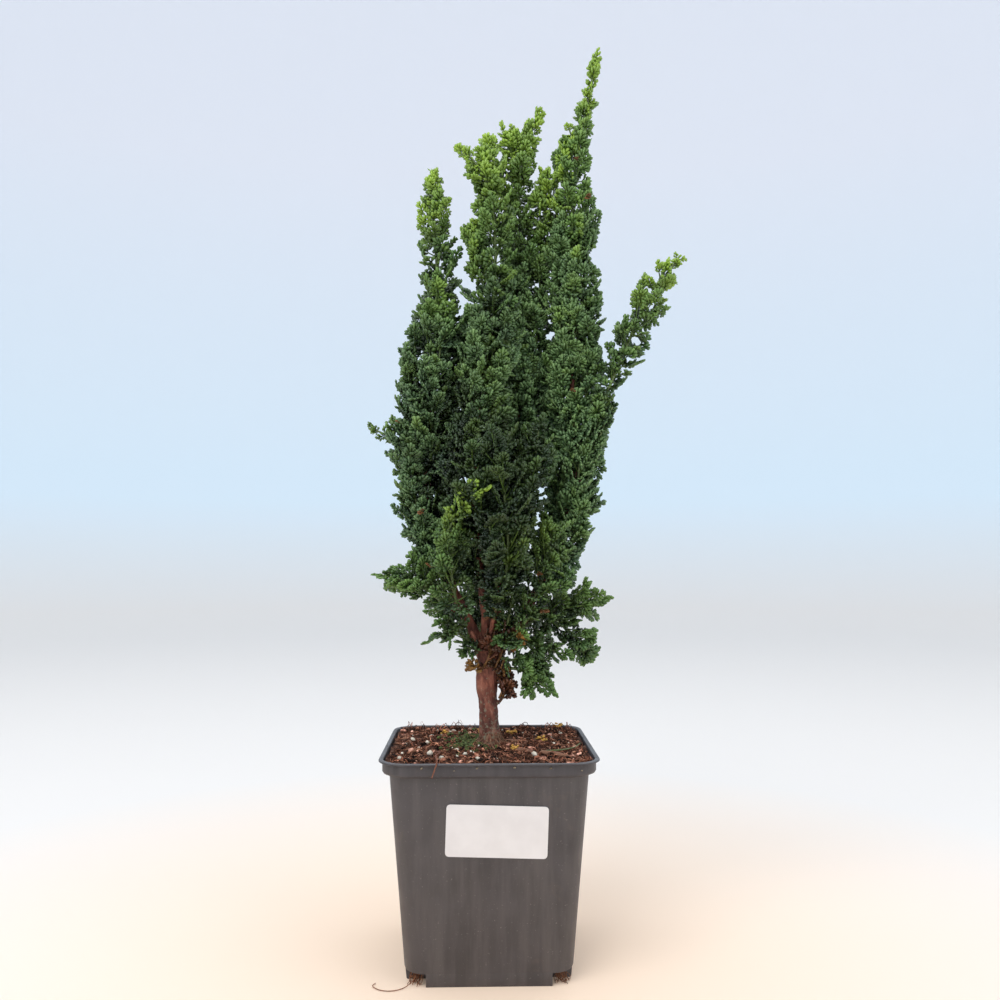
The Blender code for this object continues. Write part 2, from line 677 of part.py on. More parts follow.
def plan_sprays(leaders):
    """Every green node's stem, in the order in which they are built."""
    sprays = []
    for leader in leaders:
        facts = leader.facts
        for tier, (start, end, count, turn) in enumerate(facts["tiers"]):
            for i in range(count):
                angle = math.radians(turn + 360 * i / count)
                places = branchlet_route(leader, start, end, angle)
                spray = Spray(f"spray_{leader.name}_{tier + 1}{'abcd'[i]}", leader, (start, end), places, "side")
                spray.turn = angle
                spray.outward = spray.face = side_vector(leader.at(start)[1], angle)
                spray.radii = (STEM_ROOT, STEM_TIP)
                spray.fans, spray.lobes = SIDE_FANS[tier], SIDE_LOBES
                sprays.append(spray)
        brown = facts["brown"]
        steps = max(3, round((1 - brown) * leader.lengths[-1] / 18))
        gap = TIP_GAP / leader.lengths[-1]
        shares = [brown + gap + (1 - brown - gap) * i / steps for i in range(steps + 1)]
        places = [leader.at(s)[0] for s in shares]
        look = facts.get("look", "tip")
        name = leader.name if look == "dead" else f"spray_{leader.name}_tip"
        spray = Spray(name, leader, (brown, 1.0), places, look)
        spray.turn = math.radians(facts.get("face", 0))
        spray.face = side_vector(leader.at(brown)[1], spray.turn)
        root = facts["bark"][1]
        spray.radii = (root, STEM_TIP)
        spray.fans, spray.lobes = facts["fans"], facts["lobes"]
        sprays.append(spray)
    return sprays


def is_clear(mesh, spray, solids, sprays):
    """Whether a grown copy of a piece crosses nothing outside its own node."""
    tree = tree_of(mesh)
    if any(tree.overlap(solid) for solid in solids):
        return False
    for other in sprays:
        if other is spray:
            continue
        if any(tree.overlap(held) for held in other.trees):
            return False
    return True


def add_stems(sprays, solids, cutters):
    """The stem of every spray, a side one pushed out from the bark until it crosses nothing."""
    for spray in sprays:
        for push in STEM_TRIES:
            places = spray.places
            if spray.colour == "side":
                places = [place + spray.outward * push for place in places]
            stub = [places[0], places[0].lerp(places[1], 0.6)]
            grown = tube("stem", stub, [r + STEM_GROWN for r in spray.radii], STEM_SIDES, cutters)
            if is_clear(grown, spray, solids, sprays):
                break
        else:
            raise RuntimeError(f"no room for {spray.name}")
        spray.places = places
        spray.add(tube("stem", stub, spray.radii, STEM_SIDES, cutters))


def blocked_lobes(shape, mesh, spray, solids, sprays):
    """Lobes of a grown frond that cross something outside its own node."""
    tree = tree_of(mesh)
    others = solids + [held for other in sprays if other is not spray for held in other.trees]
    hit = {mine for other in others for mine, _ in tree.overlap(other)}
    centres = [shape.polygons[i].center for i in hit]
    return {lobe_of(centre.x, centre.y, spray.lobes) for centre in centres}


def add_fronds(sprays, solids, cutters, rng):
    """The frond along each stem, its lobes trimmed and the whole turned until it crosses no other node."""
    for spray in sprays:
        shape = flat_blade(frond_outline(spray.lobes, rng), cutters)
        for attempt in range(TURNS * TRIMS):
            if attempt % TRIMS == 0:
                trims = {}
                sideways = rng.uniform(-0.1, 0.1) * (attempt // TRIMS)
            grown = place_frond(shape, spray, sideways, trims, BLADE_GROWN)
            blocked = blocked_lobes(shape, grown, spray, solids, sprays)
            bpy.data.meshes.remove(grown)
            if not blocked:
                spray.add(place_frond(shape, spray, sideways, trims))
                break
            for lobe in blocked:
                trims[lobe] = trims.get(lobe, 1.0) * 0.86
        else:
            raise RuntimeError(f"no frond on {spray.name}")


def fan_plan(spray, number, rng):
    """Root, direction, facing, length and roll of one fan, before any change that clears it."""
    if spray.colour != "side":
        share = (number + 0.6) / (spray.fans + 0.2)
        turn = spray.turn + math.pi * (number % 2) + rng.uniform(-0.55, 0.55)
        rise = math.radians(rng.uniform(44, 60))
    else:
        share = (0.62, 0.34)[number]
        turn = spray.turn + math.radians((-25, 30)[number] + rng.uniform(-12, 12))
        rise = math.radians(rng.uniform(44, 58))
    root, along = spray.at(share)
    overall = spray.span[0] + (spray.span[1] - spray.span[0]) * share
    axis_point, _, radius = spray.leader.at(min(1.0, overall + 0.02))
    outward = side_vector(along, turn)
    offset = (root - axis_point).dot(outward)
    reach = (radius * rng.uniform(1.0, 1.15) - offset) / math.cos(rise)
    length = min(FAN_MAX, max(FAN_MIN, reach))
    return root, along, outward, rise, length, rng.uniform(-0.4, 0.4)


def add_fans(sprays, shapes, solids, rng):
    """Gives each spray its fans in turn, each swung, rolled or shortened until it crosses no other node."""
    dropped = 0
    for number in range(max(spray.fans for spray in sprays)):
        for spray in sprays:
            if number >= spray.fans:
                continue
            root, along, outward, rise, length, roll = fan_plan(spray, number, rng)
            shape = shapes[rng.randrange(LARGE_FANS) if length > SMALL_UNDER else SMALL_FAN]
            arch = rng.uniform(0.02, 0.12)
            for attempt in range(TRIES):
                swing = rng.uniform(-1, 1) * 0.07 * attempt
                lift = rise + rng.uniform(-1, 1) * 0.03 * attempt
                size = max(FAN_MIN, length * (1 - 0.018 * attempt))
                turned = Matrix.Rotation(swing, 3, along) @ outward
                ahead = turned * math.cos(lift) + along * math.sin(lift)
                face = along * math.cos(lift) - turned * math.sin(lift)
                face = Matrix.Rotation(roll + rng.uniform(-1, 1) * 0.05 * attempt, 3, ahead) @ face
                matrix = Matrix((ahead.cross(face), ahead, face)).transposed().to_4x4()
                matrix.translation = root - ahead * FAN_SUNK
                grown = place_fan(shape, matrix, size, arch, BLADE_GROWN)
                clear = is_clear(grown, spray, solids, sprays)
                bpy.data.meshes.remove(grown)
                if clear:
                    spray.add(place_fan(shape, matrix, size, arch))
                    break
            else:
                dropped += 1
    print("fans left out for room:", dropped)


def fuse_spray(spray, parts, cutters, look):
    item = add_object(spray.name, spray.meshes[0], parts, look)
    group = bpy.data.collections.new("blades")
    cutters.children.link(group)
    for mesh in spray.meshes[1:]:
        add_object("blade", mesh, group)
    boolean(item, group, "UNION")
    bpy.data.collections.remove(group)
    return item


def build_foliage(leaders, trunk, parts, cutters):
    rng = random.Random(SEED)
    solids = [tree_of(trunk.data)]
    sprays = plan_sprays(leaders)
    add_stems(sprays, solids, cutters)
    add_fronds(sprays, solids, cutters, rng)
    shapes = [flat_blade(fan_outline(kind), cutters) for kind in range(LARGE_FANS + 1)]
    add_fans(sprays, shapes, solids, rng)
    looks = {
        "side": material("foliage_deep", (0.045, 0.13, 0.05), 0.6),
        "tip": material("foliage_fresh", (0.16, 0.30, 0.06), 0.6),
        "dead": material("foliage_dead", (0.28, 0.13, 0.06), 0.8),
    }
    for spray in sprays:
        fuse_spray(spray, parts, cutters, looks[spray.colour])


def main():
    clear_scene()
    parts = new_collection("hinoki_bonsai")
    cutters = new_collection("cutters", hidden=True)
    leaders = [Leader(name, facts) for name, facts in LEADERS.items()]
    build_pot(parts, cutters)
    build_label(parts, cutters)
    trunk, hole = build_trunk(leaders, parts, cutters)
    build_soil(parts, cutters, hole)
    build_foliage(leaders, trunk, parts, cutters)


main()
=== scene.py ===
import math
import random

import bmesh
import bpy
import numpy as np
from mathutils import Matrix, Vector, noise


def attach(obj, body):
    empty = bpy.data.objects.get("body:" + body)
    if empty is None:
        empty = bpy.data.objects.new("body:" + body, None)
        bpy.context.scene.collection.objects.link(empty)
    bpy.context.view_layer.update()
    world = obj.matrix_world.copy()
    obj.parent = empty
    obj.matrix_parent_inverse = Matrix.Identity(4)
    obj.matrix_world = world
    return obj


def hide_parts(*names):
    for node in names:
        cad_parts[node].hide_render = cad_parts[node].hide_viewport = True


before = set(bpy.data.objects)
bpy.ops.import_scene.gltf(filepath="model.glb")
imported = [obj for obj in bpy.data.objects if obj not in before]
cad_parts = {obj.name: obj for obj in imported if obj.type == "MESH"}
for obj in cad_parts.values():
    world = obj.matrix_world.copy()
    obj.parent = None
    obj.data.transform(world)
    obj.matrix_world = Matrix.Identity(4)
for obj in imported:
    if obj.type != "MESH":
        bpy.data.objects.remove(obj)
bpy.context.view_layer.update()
mm = 0.001


# small tools that every piece uses

def clearPick():
    if bpy.context.mode != "OBJECT":
        bpy.ops.object.mode_set(mode="OBJECT")
    bpy.ops.object.select_all(action="DESELECT")


def makeActive(piece):
    clearPick()
    piece.select_set(True)
    bpy.context.view_layer.objects.active = piece


def applyAll(piece):
    makeActive(piece)
    for item in list(piece.modifiers):
        bpy.ops.object.modifier_apply(modifier=item.name)


def settle(piece):
    # the place goes into the mesh, so patterns on object coordinates stay where they are
    makeActive(piece)
    bpy.ops.object.transform_apply(location=True, rotation=True, scale=True)


def pick(piece, test, kind="FACE"):
    # in edit mode: selects the faces, edges or vertices that pass the test
    bpy.ops.mesh.select_mode(type=kind)
    bpy.ops.mesh.select_all(action="DESELECT")
    work = bmesh.from_edit_mesh(piece.data)
    items = {"FACE": work.faces, "EDGE": work.edges, "VERT": work.verts}[kind]
    for item in items:
        if test(item):
            item.select_set(True)
    bmesh.update_edit_mesh(piece.data)


def smoothBy(piece, degrees=35):
    makeActive(piece)
    bpy.ops.object.shade_smooth_by_angle(angle=math.radians(degrees))


def wear(piece, material):
    piece.data.materials.clear()
    piece.data.materials.append(material)


def dress(piece, material, slot, *nodes):
    wear(piece, material)
    if nodes:
        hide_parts(*nodes)
    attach(piece, "root")


def meshPiece(name, points, triangles, materialIndex=None):
    # one mesh from numpy arrays of points and triangles
    made = bpy.data.meshes.new(name)
    made.vertices.add(len(points))
    made.vertices.foreach_set("co", np.ascontiguousarray(points, np.float32).ravel())
    made.loops.add(3 * len(triangles))
    made.loops.foreach_set("vertex_index", np.ascontiguousarray(triangles, np.int32).ravel())
    made.polygons.add(len(triangles))
    made.polygons.foreach_set("loop_start", np.arange(0, 3 * len(triangles), 3, dtype=np.int32))
    if materialIndex is not None:
        made.polygons.foreach_set("material_index", np.ascontiguousarray(materialIndex, np.int32))
    made.update(calc_edges=True)
    made.validate()
    piece = bpy.data.objects.new(name, made)
    bpy.context.scene.collection.objects.link(piece)
    return piece


def shapeArrays(piece):
    # points and triangles of a modelled shape, which is then removed
    piece.data.calc_loop_triangles()
    points = np.array([v.co for v in piece.data.vertices])
    triangles = np.array([t.vertices for t in piece.data.loop_triangles])
    bpy.data.objects.remove(piece, do_unlink=True)
    return points, triangles


def tubeArrays(points, radii, sides=8):
    # a round tube along points, closed at both ends
    points = np.asarray(points, float)
    along = np.gradient(points, axis=0)
    along /= np.linalg.norm(along, axis=1, keepdims=True)
    side = np.cross(along[0], (0.31, 0.52, 0.79))
    rings = []
    for place, ahead, radius in zip(points, along, radii):
        side = side - ahead * side.dot(ahead)
        side /= np.linalg.norm(side)
        other = np.cross(ahead, side)
        turns = np.arange(sides) * 2 * math.pi / sides
        rings.append(place + radius * (np.outer(np.cos(turns), side) + np.outer(np.sin(turns), other)))
    verts = np.concatenate([*rings, points[:1], points[-1:]])
    faces = []
    last = (len(points) - 1) * sides
    for k in range(sides):
        n = (k + 1) % sides
        for r in range(len(points) - 1):
            a, b, c, d = r * sides + k, r * sides + n, (r + 1) * sides + n, (r + 1) * sides + k
            faces += [(a, b, c), (a, c, d)]
        faces.append((len(verts) - 2, n, k))
        faces.append((len(verts) - 1, last + k, last + n))
    return verts, np.array(faces)


class Gather:
    # collects many small shapes into the arrays of one mesh, with a colour at each corner
    def __init__(self):
        self.points, self.triangles, self.colours, self.slots = [], [], [], []
        self.count = 0

    def add(self, points, triangles, colours, slot=0):
        self.points.append(points)
        self.triangles.append(triangles + self.count)
        self.colours.append(np.broadcast_to(colours, (len(triangles), 3, 4)))
        self.slots.append(np.full(len(triangles), slot))
        self.count += len(points)

    def piece(self, name, materials, colourName="leaf"):
        points = np.concatenate(self.points) * mm
        made = meshPiece(name, points, np.concatenate(self.triangles), np.concatenate(self.slots))
        tint = made.data.color_attributes.new(name=colourName, type="FLOAT_COLOR", domain="CORNER")
        tint.data.foreach_set("color", np.concatenate(self.colours).astype(np.float32).ravel())
        for material in materials:
            made.data.materials.append(material)
        made.data.polygons.foreach_set("use_smooth", [True] * len(made.data.polygons))
        return made


def loosePiece(gather, name, material):
    # gathered bits, each with its own tint, as one piece
    piece = gather.piece(name, [material], "grain")
    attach(piece, "root")


class Paint:
    # a new material, with short ways to add to its shader
    def __init__(self, name, roughness=0.5):
        self.material = bpy.data.materials.new(name)
        self.material.use_nodes = True
        self.nodes = self.material.node_tree.nodes
        self.links = self.material.node_tree.links
        self.shader = self.nodes["Principled BSDF"]
        self.give("Roughness", roughness)

    def give(self, name, value):
        # an input of the shader gets a socket or a plain value
        if isinstance(value, bpy.types.NodeSocket):
            self.links.new(value, self.shader.inputs[name])
        else:
            self.shader.inputs[name].default_value = value

    def add(self, kind, **values):
        node = self.nodes.new(kind)
        for key, value in values.items():
            if key in node.inputs:
                node.inputs[key].default_value = value
            else:
                setattr(node, key, value)
        return node

    def place(self):
        return self.add("ShaderNodeTexCoord").outputs["Object"]

    def height(self):
        split = self.add("ShaderNodeSeparateXYZ")
        self.links.new(self.place(), split.inputs["Vector"])
        return split.outputs["Z"]

    def span(self, source, low, high, toLow=0.0, toHigh=1.0):
        # source from low to high becomes toLow to toHigh
        node = self.add("ShaderNodeMapRange")
        for key, value in (("From Min", low), ("From Max", high), ("To Min", toLow), ("To Max", toHigh)):
            node.inputs[key].default_value = value
        self.links.new(source, node.inputs["Value"])
        return node.outputs["Result"]

    def ramp(self, source, *stops):
        # a stop is a place with a colour, or with one number for a grey
        node = self.add("ShaderNodeValToRGB")
        while len(node.color_ramp.elements) < len(stops):
            node.color_ramp.elements.new(0.5)
        for element, (place, colour) in zip(node.color_ramp.elements, stops):
            element.position = place
            element.color = (*colour, 1) if isinstance(colour, tuple) else (colour, colour, colour, 1)
        self.links.new(source, node.inputs["Fac"])
        return node.outputs["Color"]

    def mix(self, share, first, second, blend="MIX"):
        # share, first and second are sockets or plain values
        node = self.add("ShaderNodeMix", data_type="RGBA", blend_type=blend)
        for socket, value in ((node.inputs[0], share), (node.inputs[6], first), (node.inputs[7], second)):
            if isinstance(value, bpy.types.NodeSocket):
                self.links.new(value, socket)
            elif isinstance(value, (int, float)):
                socket.default_value = value
            else:
                socket.default_value = (*value, 1)
        return node.outputs[2]

    def noise(self, scale, detail=3.0, roughness=0.55, stretch=None, distortion=0.0):
        # noise on object coordinates; stretch squeezes it along x, y and z
        source = self.place()
        if stretch:
            mapping = self.add("ShaderNodeMapping", Scale=stretch)
            self.links.new(source, mapping.inputs["Vector"])
            source = mapping.outputs["Vector"]
        made = self.add("ShaderNodeTexNoise", Scale=scale, Detail=detail, Roughness=roughness,
                        Distortion=distortion)
        self.links.new(source, made.inputs["Vector"])
        return made.outputs["Fac"]

    def grained(self, base):
        # the colour times the tint of each loose bit
        tint = self.add("ShaderNodeAttribute", attribute_name="grain")
        self.give("Base Color", self.mix(1.0, base, tint.outputs["Color"], "MULTIPLY"))

    def bump(self, height, strength, distance):
        node = self.add("ShaderNodeBump", Strength=strength, Distance=distance)
        self.links.new(height, node.inputs["Height"])
        self.links.new(node.outputs["Normal"], self.shader.inputs["Normal"])


# camera, at the photograph's angle

cameraFacts = {"place": (-6.4, -504.1, 204.9), "turn": 1.44, "tilt": 4.19, "lens": 32.9}


def makeCamera():
    clearPick()
    bpy.ops.object.camera_add(location=[v * mm for v in cameraFacts["place"]])
    shot = bpy.context.object
    shot.name = "photoCamera"
    shot.data.lens = cameraFacts["lens"]
    shot.data.sensor_width = 36
    shot.data.clip_start = 0.01
    shot.rotation_euler = (math.radians(90 + cameraFacts["tilt"]), 0, -math.radians(cameraFacts["turn"]))
    bpy.context.scene.camera = shot
    print("camera is set")


# pot

potFacts = {
    "corner": 12.6, "cornerSteps": 8,
    # half width and height of each ring of its wall, from the foot up, over the rim and down inside
    "outside": [(40.7, 0), (41.2, 0.6), (41.9, 7.2), (42.2, 7.7), (50, 102.8), (51.6, 102.9),
                (52.8, 103.4), (53.3, 104.4), (53.3, 108.8), (54.6, 108.9), (55, 109.2), (55, 109.7),
                (54.7, 110)],
    "inside": [(53.3, 110), (52.8, 109.7), (52.1, 103.4), (48.6, 101.2), (41.2, 7.6)],
    # the cross foot's half width, the cut blocks' reach, the notches' height, the drain holes' radius, place
    "foot": 31.0, "reach": 60.0, "notch": 6.6, "drain": 2.6, "drainAt": 35.1,
    "edge": 0.3,
}


def makePotMaterial():
    paint = Paint("potPlastic")
    patch = paint.ramp(paint.noise(40, 4), (0.3, (0.049, 0.043, 0.045)), (0.7, (0.071, 0.063, 0.066)))
    streak = paint.ramp(paint.noise(130, 5, 0.6, (1, 1, 0.06)), (0.45, 0), (0.8, 1))
    colour = paint.mix(streak, patch, (0.105, 0.094, 0.093))
    dust = paint.ramp(paint.noise(900, 2, 0.7), (0.66, 0), (0.74, 0.6))
    colour = paint.mix(dust, colour, (0.22, 0.20, 0.185))
    # the flat lip on top of the rim is painted lighter: painted light on its upward face
    height = paint.height()
    colour = paint.mix(paint.span(height, 0.1096, 0.1100), colour, (0.15, 0.142, 0.138))
    # the rim band is a little darker, as painted shade under the lip's overhang, and a few brown smudges run
    # over the walls
    # painted shade under the lip: the colour from the band up is multiplied darker
    paintedBandShade = paint.mix(1.0, colour, (0.76, 0.77, 0.81), "MULTIPLY")
    colour = paint.mix(paint.span(height, 0.1022, 0.1030), colour, paintedBandShade)
    smudge = paint.ramp(paint.noise(55, 6, 0.7, None, 1.2), (0.62, 0), (0.78, 0.4))
    paint.give("Base Color", paint.mix(smudge, colour, (0.125, 0.095, 0.075)))
    paint.give("Roughness", paint.ramp(paint.noise(60, 4), (0.3, 0.42), (0.75, 0.62)))
    paint.bump(paint.noise(2200, 2), 0.12, 0.0002)
    return paint.material


def notchCutters():
    # a block and a drain hole for each corner of the foot
    facts = potFacts
    cutters = []
    for sx in (-1, 1):
        for sy in (-1, 1):
            centre = [(facts["foot"] + facts["reach"]) / 2 * s * mm for s in (sx, sy)]
            clearPick()
            bpy.ops.mesh.primitive_cube_add(size=1, location=(*centre, (facts["notch"] - 1) / 2 * mm))
            block = bpy.context.object
            block.scale = [(facts["reach"] - facts["foot"]) * mm] * 2 + [(facts["notch"] + 1) * mm]
            settle(block)
            spot = [facts["drainAt"] * s * mm for s in (sx, sy)]
            clearPick()
            bpy.ops.mesh.primitive_cylinder_add(vertices=24, radius=facts["drain"] * mm, depth=8 * mm,
                                                location=(*spot, 7 * mm))
            drain = bpy.context.object
            settle(drain)
            cutters += [block, drain]
    return cutters


def makePot():
    facts = potFacts
    clearPick()
    half, low = facts["outside"][0]
    bpy.ops.mesh.primitive_plane_add(size=2 * half * mm, location=(0, 0, low * mm))
    pot = bpy.context.object
    pot.name = "pot_body"
    settle(pot)
    bpy.ops.object.mode_set(mode="EDIT")
    bpy.ops.mesh.select_all(action="SELECT")
    bpy.ops.mesh.bevel(offset=facts["corner"] * half / 50 * mm, segments=facts["cornerSteps"],
                       affect="VERTICES")
    bpy.ops.mesh.select_all(action="SELECT")
    bpy.ops.mesh.select_mode(type="FACE")
    for wide, high in facts["outside"][1:] + facts["inside"]:
        bpy.ops.mesh.extrude_region_move(TRANSFORM_OT_translate={"value": (0, 0, (high - low) * mm)})
        bpy.ops.transform.resize(value=(wide / half, wide / half, 1), center_override=(0, 0, 0))
        half, low = wide, high
    # the foot's face was left behind by the first extrusion, so it is closed again
    bpy.ops.mesh.select_all(action="DESELECT")
    bpy.ops.mesh.select_mode(type="EDGE")
    bpy.ops.mesh.select_non_manifold()
    bpy.ops.mesh.edge_face_add()
    bpy.ops.mesh.select_all(action="SELECT")
    bpy.ops.mesh.normals_make_consistent(inside=False)
    bpy.ops.object.mode_set(mode="OBJECT")
    cutters = notchCutters()
    for cutter in cutters:
        cut = pot.modifiers.new("cut", "BOOLEAN")
        cut.operation = "DIFFERENCE"
        cut.object = cutter
    applyAll(pot)
    for cutter in cutters:
        bpy.data.objects.remove(cutter, do_unlink=True)
    edge = pot.modifiers.new("edge", "BEVEL")
    edge.width = facts["edge"] * mm
    edge.segments = 2
    edge.limit_method = "ANGLE"
    edge.angle_limit = math.radians(40)
    applyAll(pot)
    smoothBy(pot, 40)
    dress(pot, makePotMaterial(), "pot_plastic", "pot")
    print("pot is done")


# label, bare: the solid itself with a finer material

def makeLabel():
    paint = Paint("labelPaper", 0.5)
    tone = paint.ramp(paint.noise(90, 4), (0.3, (0.72, 0.68, 0.66)), (0.7, (0.78, 0.74, 0.72)))
    paint.give("Base Color", tone)
    paint.bump(paint.noise(1500, 2), 0.08, 0.0001)
    wear(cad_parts["label"], paint.material)
    print("label is done")


# soil

soilFacts = {"half": 51.8, "corner": 12.0, "top": 108.9, "bump": 1.2, "edgeDrop": 0.5, "bottom": 104.0,
             "grid": 120, "crumbs": 3200, "fibres": 2600, "backCurls": 45, "seed": 11}


def soilHeight(x, y):
    # the solid's bumps, a little higher, in millimetres
    waves = math.sin(0.31 * x + 1.1) * math.cos(0.27 * y - 0.4)
    waves += 0.6 * math.sin(0.55 * x - 0.42 * y) + 0.5 * math.cos(0.61 * y + 0.23 * x + 2.0)
    edge = max(abs(x), abs(y)) / soilFacts["half"]
    return soilFacts["top"] + soilFacts["bump"] * waves / 1.6 - soilFacts["edgeDrop"] * edge**4


def insideRim(x, y, gap=0.0):
    half, corner = soilFacts["half"] - gap, soilFacts["corner"]
    dx, dy = abs(x) - (half - corner), abs(y) - (half - corner)
    if dx <= 0 or dy <= 0:
        return abs(x) <= half and abs(y) <= half
    return math.hypot(dx, dy) <= corner


def crumbHeight(x, y):
    high = soilHeight(x, y)
    high += 1.1 * noise.fractal(Vector((x * 0.22, y * 0.22, 3.1)), 0.7, 2.1, 4)
    return high + 0.5 * noise.noise(Vector((x * 0.9, y * 0.9, 7.7)))


def makeSoilMaterial():
    paint = Paint("soilPeat", 0.95)
    paint.grained(paint.ramp(paint.noise(420, 6, 0.7), (0.28, (0.012, 0.006, 0.004)),
                             (0.5, (0.088, 0.038, 0.025)), (0.72, (0.30, 0.17, 0.12))))
    paint.give("Specular IOR Level", 0.2)
    paint.bump(paint.noise(900, 5, 0.7), 0.7, 0.0006)
    return paint.material


def makePlainSoilMaterial():
    paint = Paint("soilDeep", 0.95)
    paint.give("Base Color", paint.ramp(paint.noise(420, 6, 0.7), (0.3, (0.020, 0.009, 0.006)),
                                        (0.7, (0.075, 0.032, 0.020))))
    return paint.material


def makeGrainMaterial(name, light, dark, roughness):
    # for small loose bits: two tones by noise, changed by each bit's own tint
    paint = Paint(name, roughness)
    paint.grained(paint.ramp(paint.noise(700, 4, 0.65), (0.3, dark), (0.7, light)))
    paint.bump(paint.noise(1200, 4, 0.7), 0.5, 0.0004)
    return paint.material


def crumbShape(seed, detail):
    # one irregular crumb about 1 across, modelled from a ball
    clearPick()
    bpy.ops.mesh.primitive_ico_sphere_add(subdivisions=detail, radius=0.5)
    crumb = bpy.context.object
    bpy.ops.object.mode_set(mode="EDIT")
    bpy.ops.mesh.select_all(action="SELECT")
    bpy.ops.transform.vertex_random(offset=0.16 if detail == 1 else 0.12, seed=seed)
    bpy.ops.transform.resize(value=(1.0, 0.8, 0.65), center_override=(0, 0, 0))
    bpy.ops.object.mode_set(mode="OBJECT")
    return shapeArrays(crumb)


def turnArray(rng, tilt=1.0):
    spin = Matrix.Rotation(rng.uniform(0, 2 * math.pi), 3, "Z")
    nod = Matrix.Rotation(rng.uniform(-tilt, tilt), 3, "X")
    roll = Matrix.Rotation(rng.uniform(-tilt, tilt), 3, "Y")
    return np.array(nod @ roll @ spin)


def tintOf(rng, low, high, warm=0.0):
    level = rng.uniform(low, high)
    return np.array((level * (1 + warm * rng.uniform(0, 1)), level, level * (1 - 0.5 * warm), 1.0))


def soilTint(rng):
    # mostly red-brown peat, with some dark, some dry and pale crumbs
    kind = rng.random()
    if kind < 0.30:
        return tintOf(rng, 0.05, 0.2)
    if kind < 0.60:
        return tintOf(rng, 0.5, 1.2, 0.3)
    if kind < 0.84:
        return tintOf(rng, 1.4, 3.0, 0.25)
    return tintOf(rng, 4.0, 9.0, -0.1)


def makeSoil():
    facts = soilFacts
    rng = random.Random(facts["seed"])
    wear(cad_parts["soil"], makePlainSoilMaterial())
    # crust: a bumpy slab that covers the solid block
    clearPick()
    bpy.ops.mesh.primitive_grid_add(x_subdivisions=facts["grid"], y_subdivisions=facts["grid"],
                                    size=2 * facts["half"] * mm)
    crust = bpy.context.object
    crust.name = "soil_crust"
    bpy.ops.object.mode_set(mode="EDIT")
    pick(crust, lambda f: not insideRim(f.calc_center_median().x / mm, f.calc_center_median().y / mm))
    bpy.ops.mesh.delete(type="FACE")
    bpy.ops.mesh.select_all(action="SELECT")
    bpy.ops.mesh.extrude_region_move(TRANSFORM_OT_translate={"value": (0, 0, 0.2)})
    bpy.ops.mesh.select_all(action="SELECT")
    bpy.ops.mesh.normals_make_consistent(inside=False)
    bpy.ops.object.mode_set(mode="OBJECT")
    for vert in crust.data.vertices:
        x, y = vert.co.x / mm, vert.co.y / mm
        vert.co.z = (crumbHeight(x, y) if vert.co.z > 0.1 else facts["bottom"]) * mm
    grain = crust.data.color_attributes.new(name="grain", type="FLOAT_COLOR", domain="CORNER")
    grain.data.foreach_set("color", [0.8] * 4 * len(crust.data.loops))
    smoothBy(crust, 60)
    soilMaterial = makeSoilMaterial()
    dress(crust, soilMaterial, "soil")
    # crumbs, then curly fibres
    shapes = [crumbShape(seed, 1) for seed in range(1, 7)]
    gather = Gather()
    for _ in range(facts["crumbs"]):
        x, y = rng.uniform(-50, 50), rng.uniform(-50, 50)
        if not insideRim(x, y, 0.9):
            continue
        size = 0.7 + 2.6 * rng.random()**3.4
        points, triangles = shapes[rng.randrange(len(shapes))]
        points = points @ turnArray(rng).T * size * (rng.uniform(0.8, 1.9), 1, 1)
        gather.add(points + (x, y, crumbHeight(x, y) + 0.1 + 0.12 * size), triangles, soilTint(rng))
    for k in range(facts["fibres"] + facts["backCurls"]):
        x, y = rng.uniform(-49, 49), rng.uniform(-49, 49)
        lift = rng.uniform(0, 1.6)
        if k >= facts["fibres"]:
            # some stand up behind the rim at the back
            y, lift = rng.uniform(40, 49), rng.uniform(2.0, 5.0)
        spine = fibreSpine(x, y, lift, rng)
        if len(spine) > 2:
            thin = rng.uniform(0.09, 0.24)
            points, triangles = tubeArrays(spine, [thin] * len(spine), 3)
            tint = (0.2, 1.6, 0.3) if rng.random() < 0.5 else (1.6, 6.0, 0.25)
            gather.add(points, triangles, tintOf(rng, *tint))
    loosePiece(gather, "soil_crumbs", soilMaterial)
    makeSoilBits(rng)
    print("soil is done")


def fibreSpine(x, y, lift, rng):
    turn, long = rng.uniform(0, 2 * math.pi), rng.uniform(2.5, 9)
    curl = rng.uniform(-0.9, 0.9)
    spine = []
    for k in range(5):
        x, y = x + math.cos(turn) * long / 5, y + math.sin(turn) * long / 5
        turn += curl + rng.uniform(-0.4, 0.4)
        if not insideRim(x, y, 0.4):
            break
        spine.append((x, y, crumbHeight(x, y) + 0.4 + lift * math.sin(math.pi * k / 4)))
    return spine


# loose bits on the soil: places in millimetres from the pot's centre
bitFacts = {
    "perlite": [(-19.5, 34), (-21.5, 32), (-22, 30), (-31.6, 22), (-41, 2), (-39, 6), (-17, -20.5),
                (-5.7, -41), (-34, -28), (-30, -34), (-45, -38), (-24, -38), (-33, -2), (-12, -34),
                (23, -32)],
    "morePerlite": 70,
    "deadLeaves": [(-3.4, 20), (14, 27), (13, -19), (41.6, 46), (-24, 31), (29, 6)],
    "barkBits": [((15, -20, 1.2), (24, -29, 1.0), 1.9), ((27, -28, 1.2), (39, -39, 1.2), 2.1),
                 ((10, 8, 1), (22, 2, 1), 1.4)],
    "mossMiddle": (-10, 2), "mossReach": (13, 24), "mossLumps": 300,
    "greenStem": [(27, -24, 1.4), (36, -30, 2.4), (44, -22, 2.6), (49, -8, 2.0)],
    "redTwig": [(-28, -24, 110.0), (-25, -34, 111.6), (-26.5, -45, 112.0), (-25.5, -54.2, 111),
                (-26.6, -55.6, 107.5), (-28, -55.4, 103.5)],
    "rimCrumbs": [(-17.3, 106.6), (-6.2, 107.8), (29.6, 107.6), (44.7, 106.4), (-33, 107.9), (12, 108.0)],
}


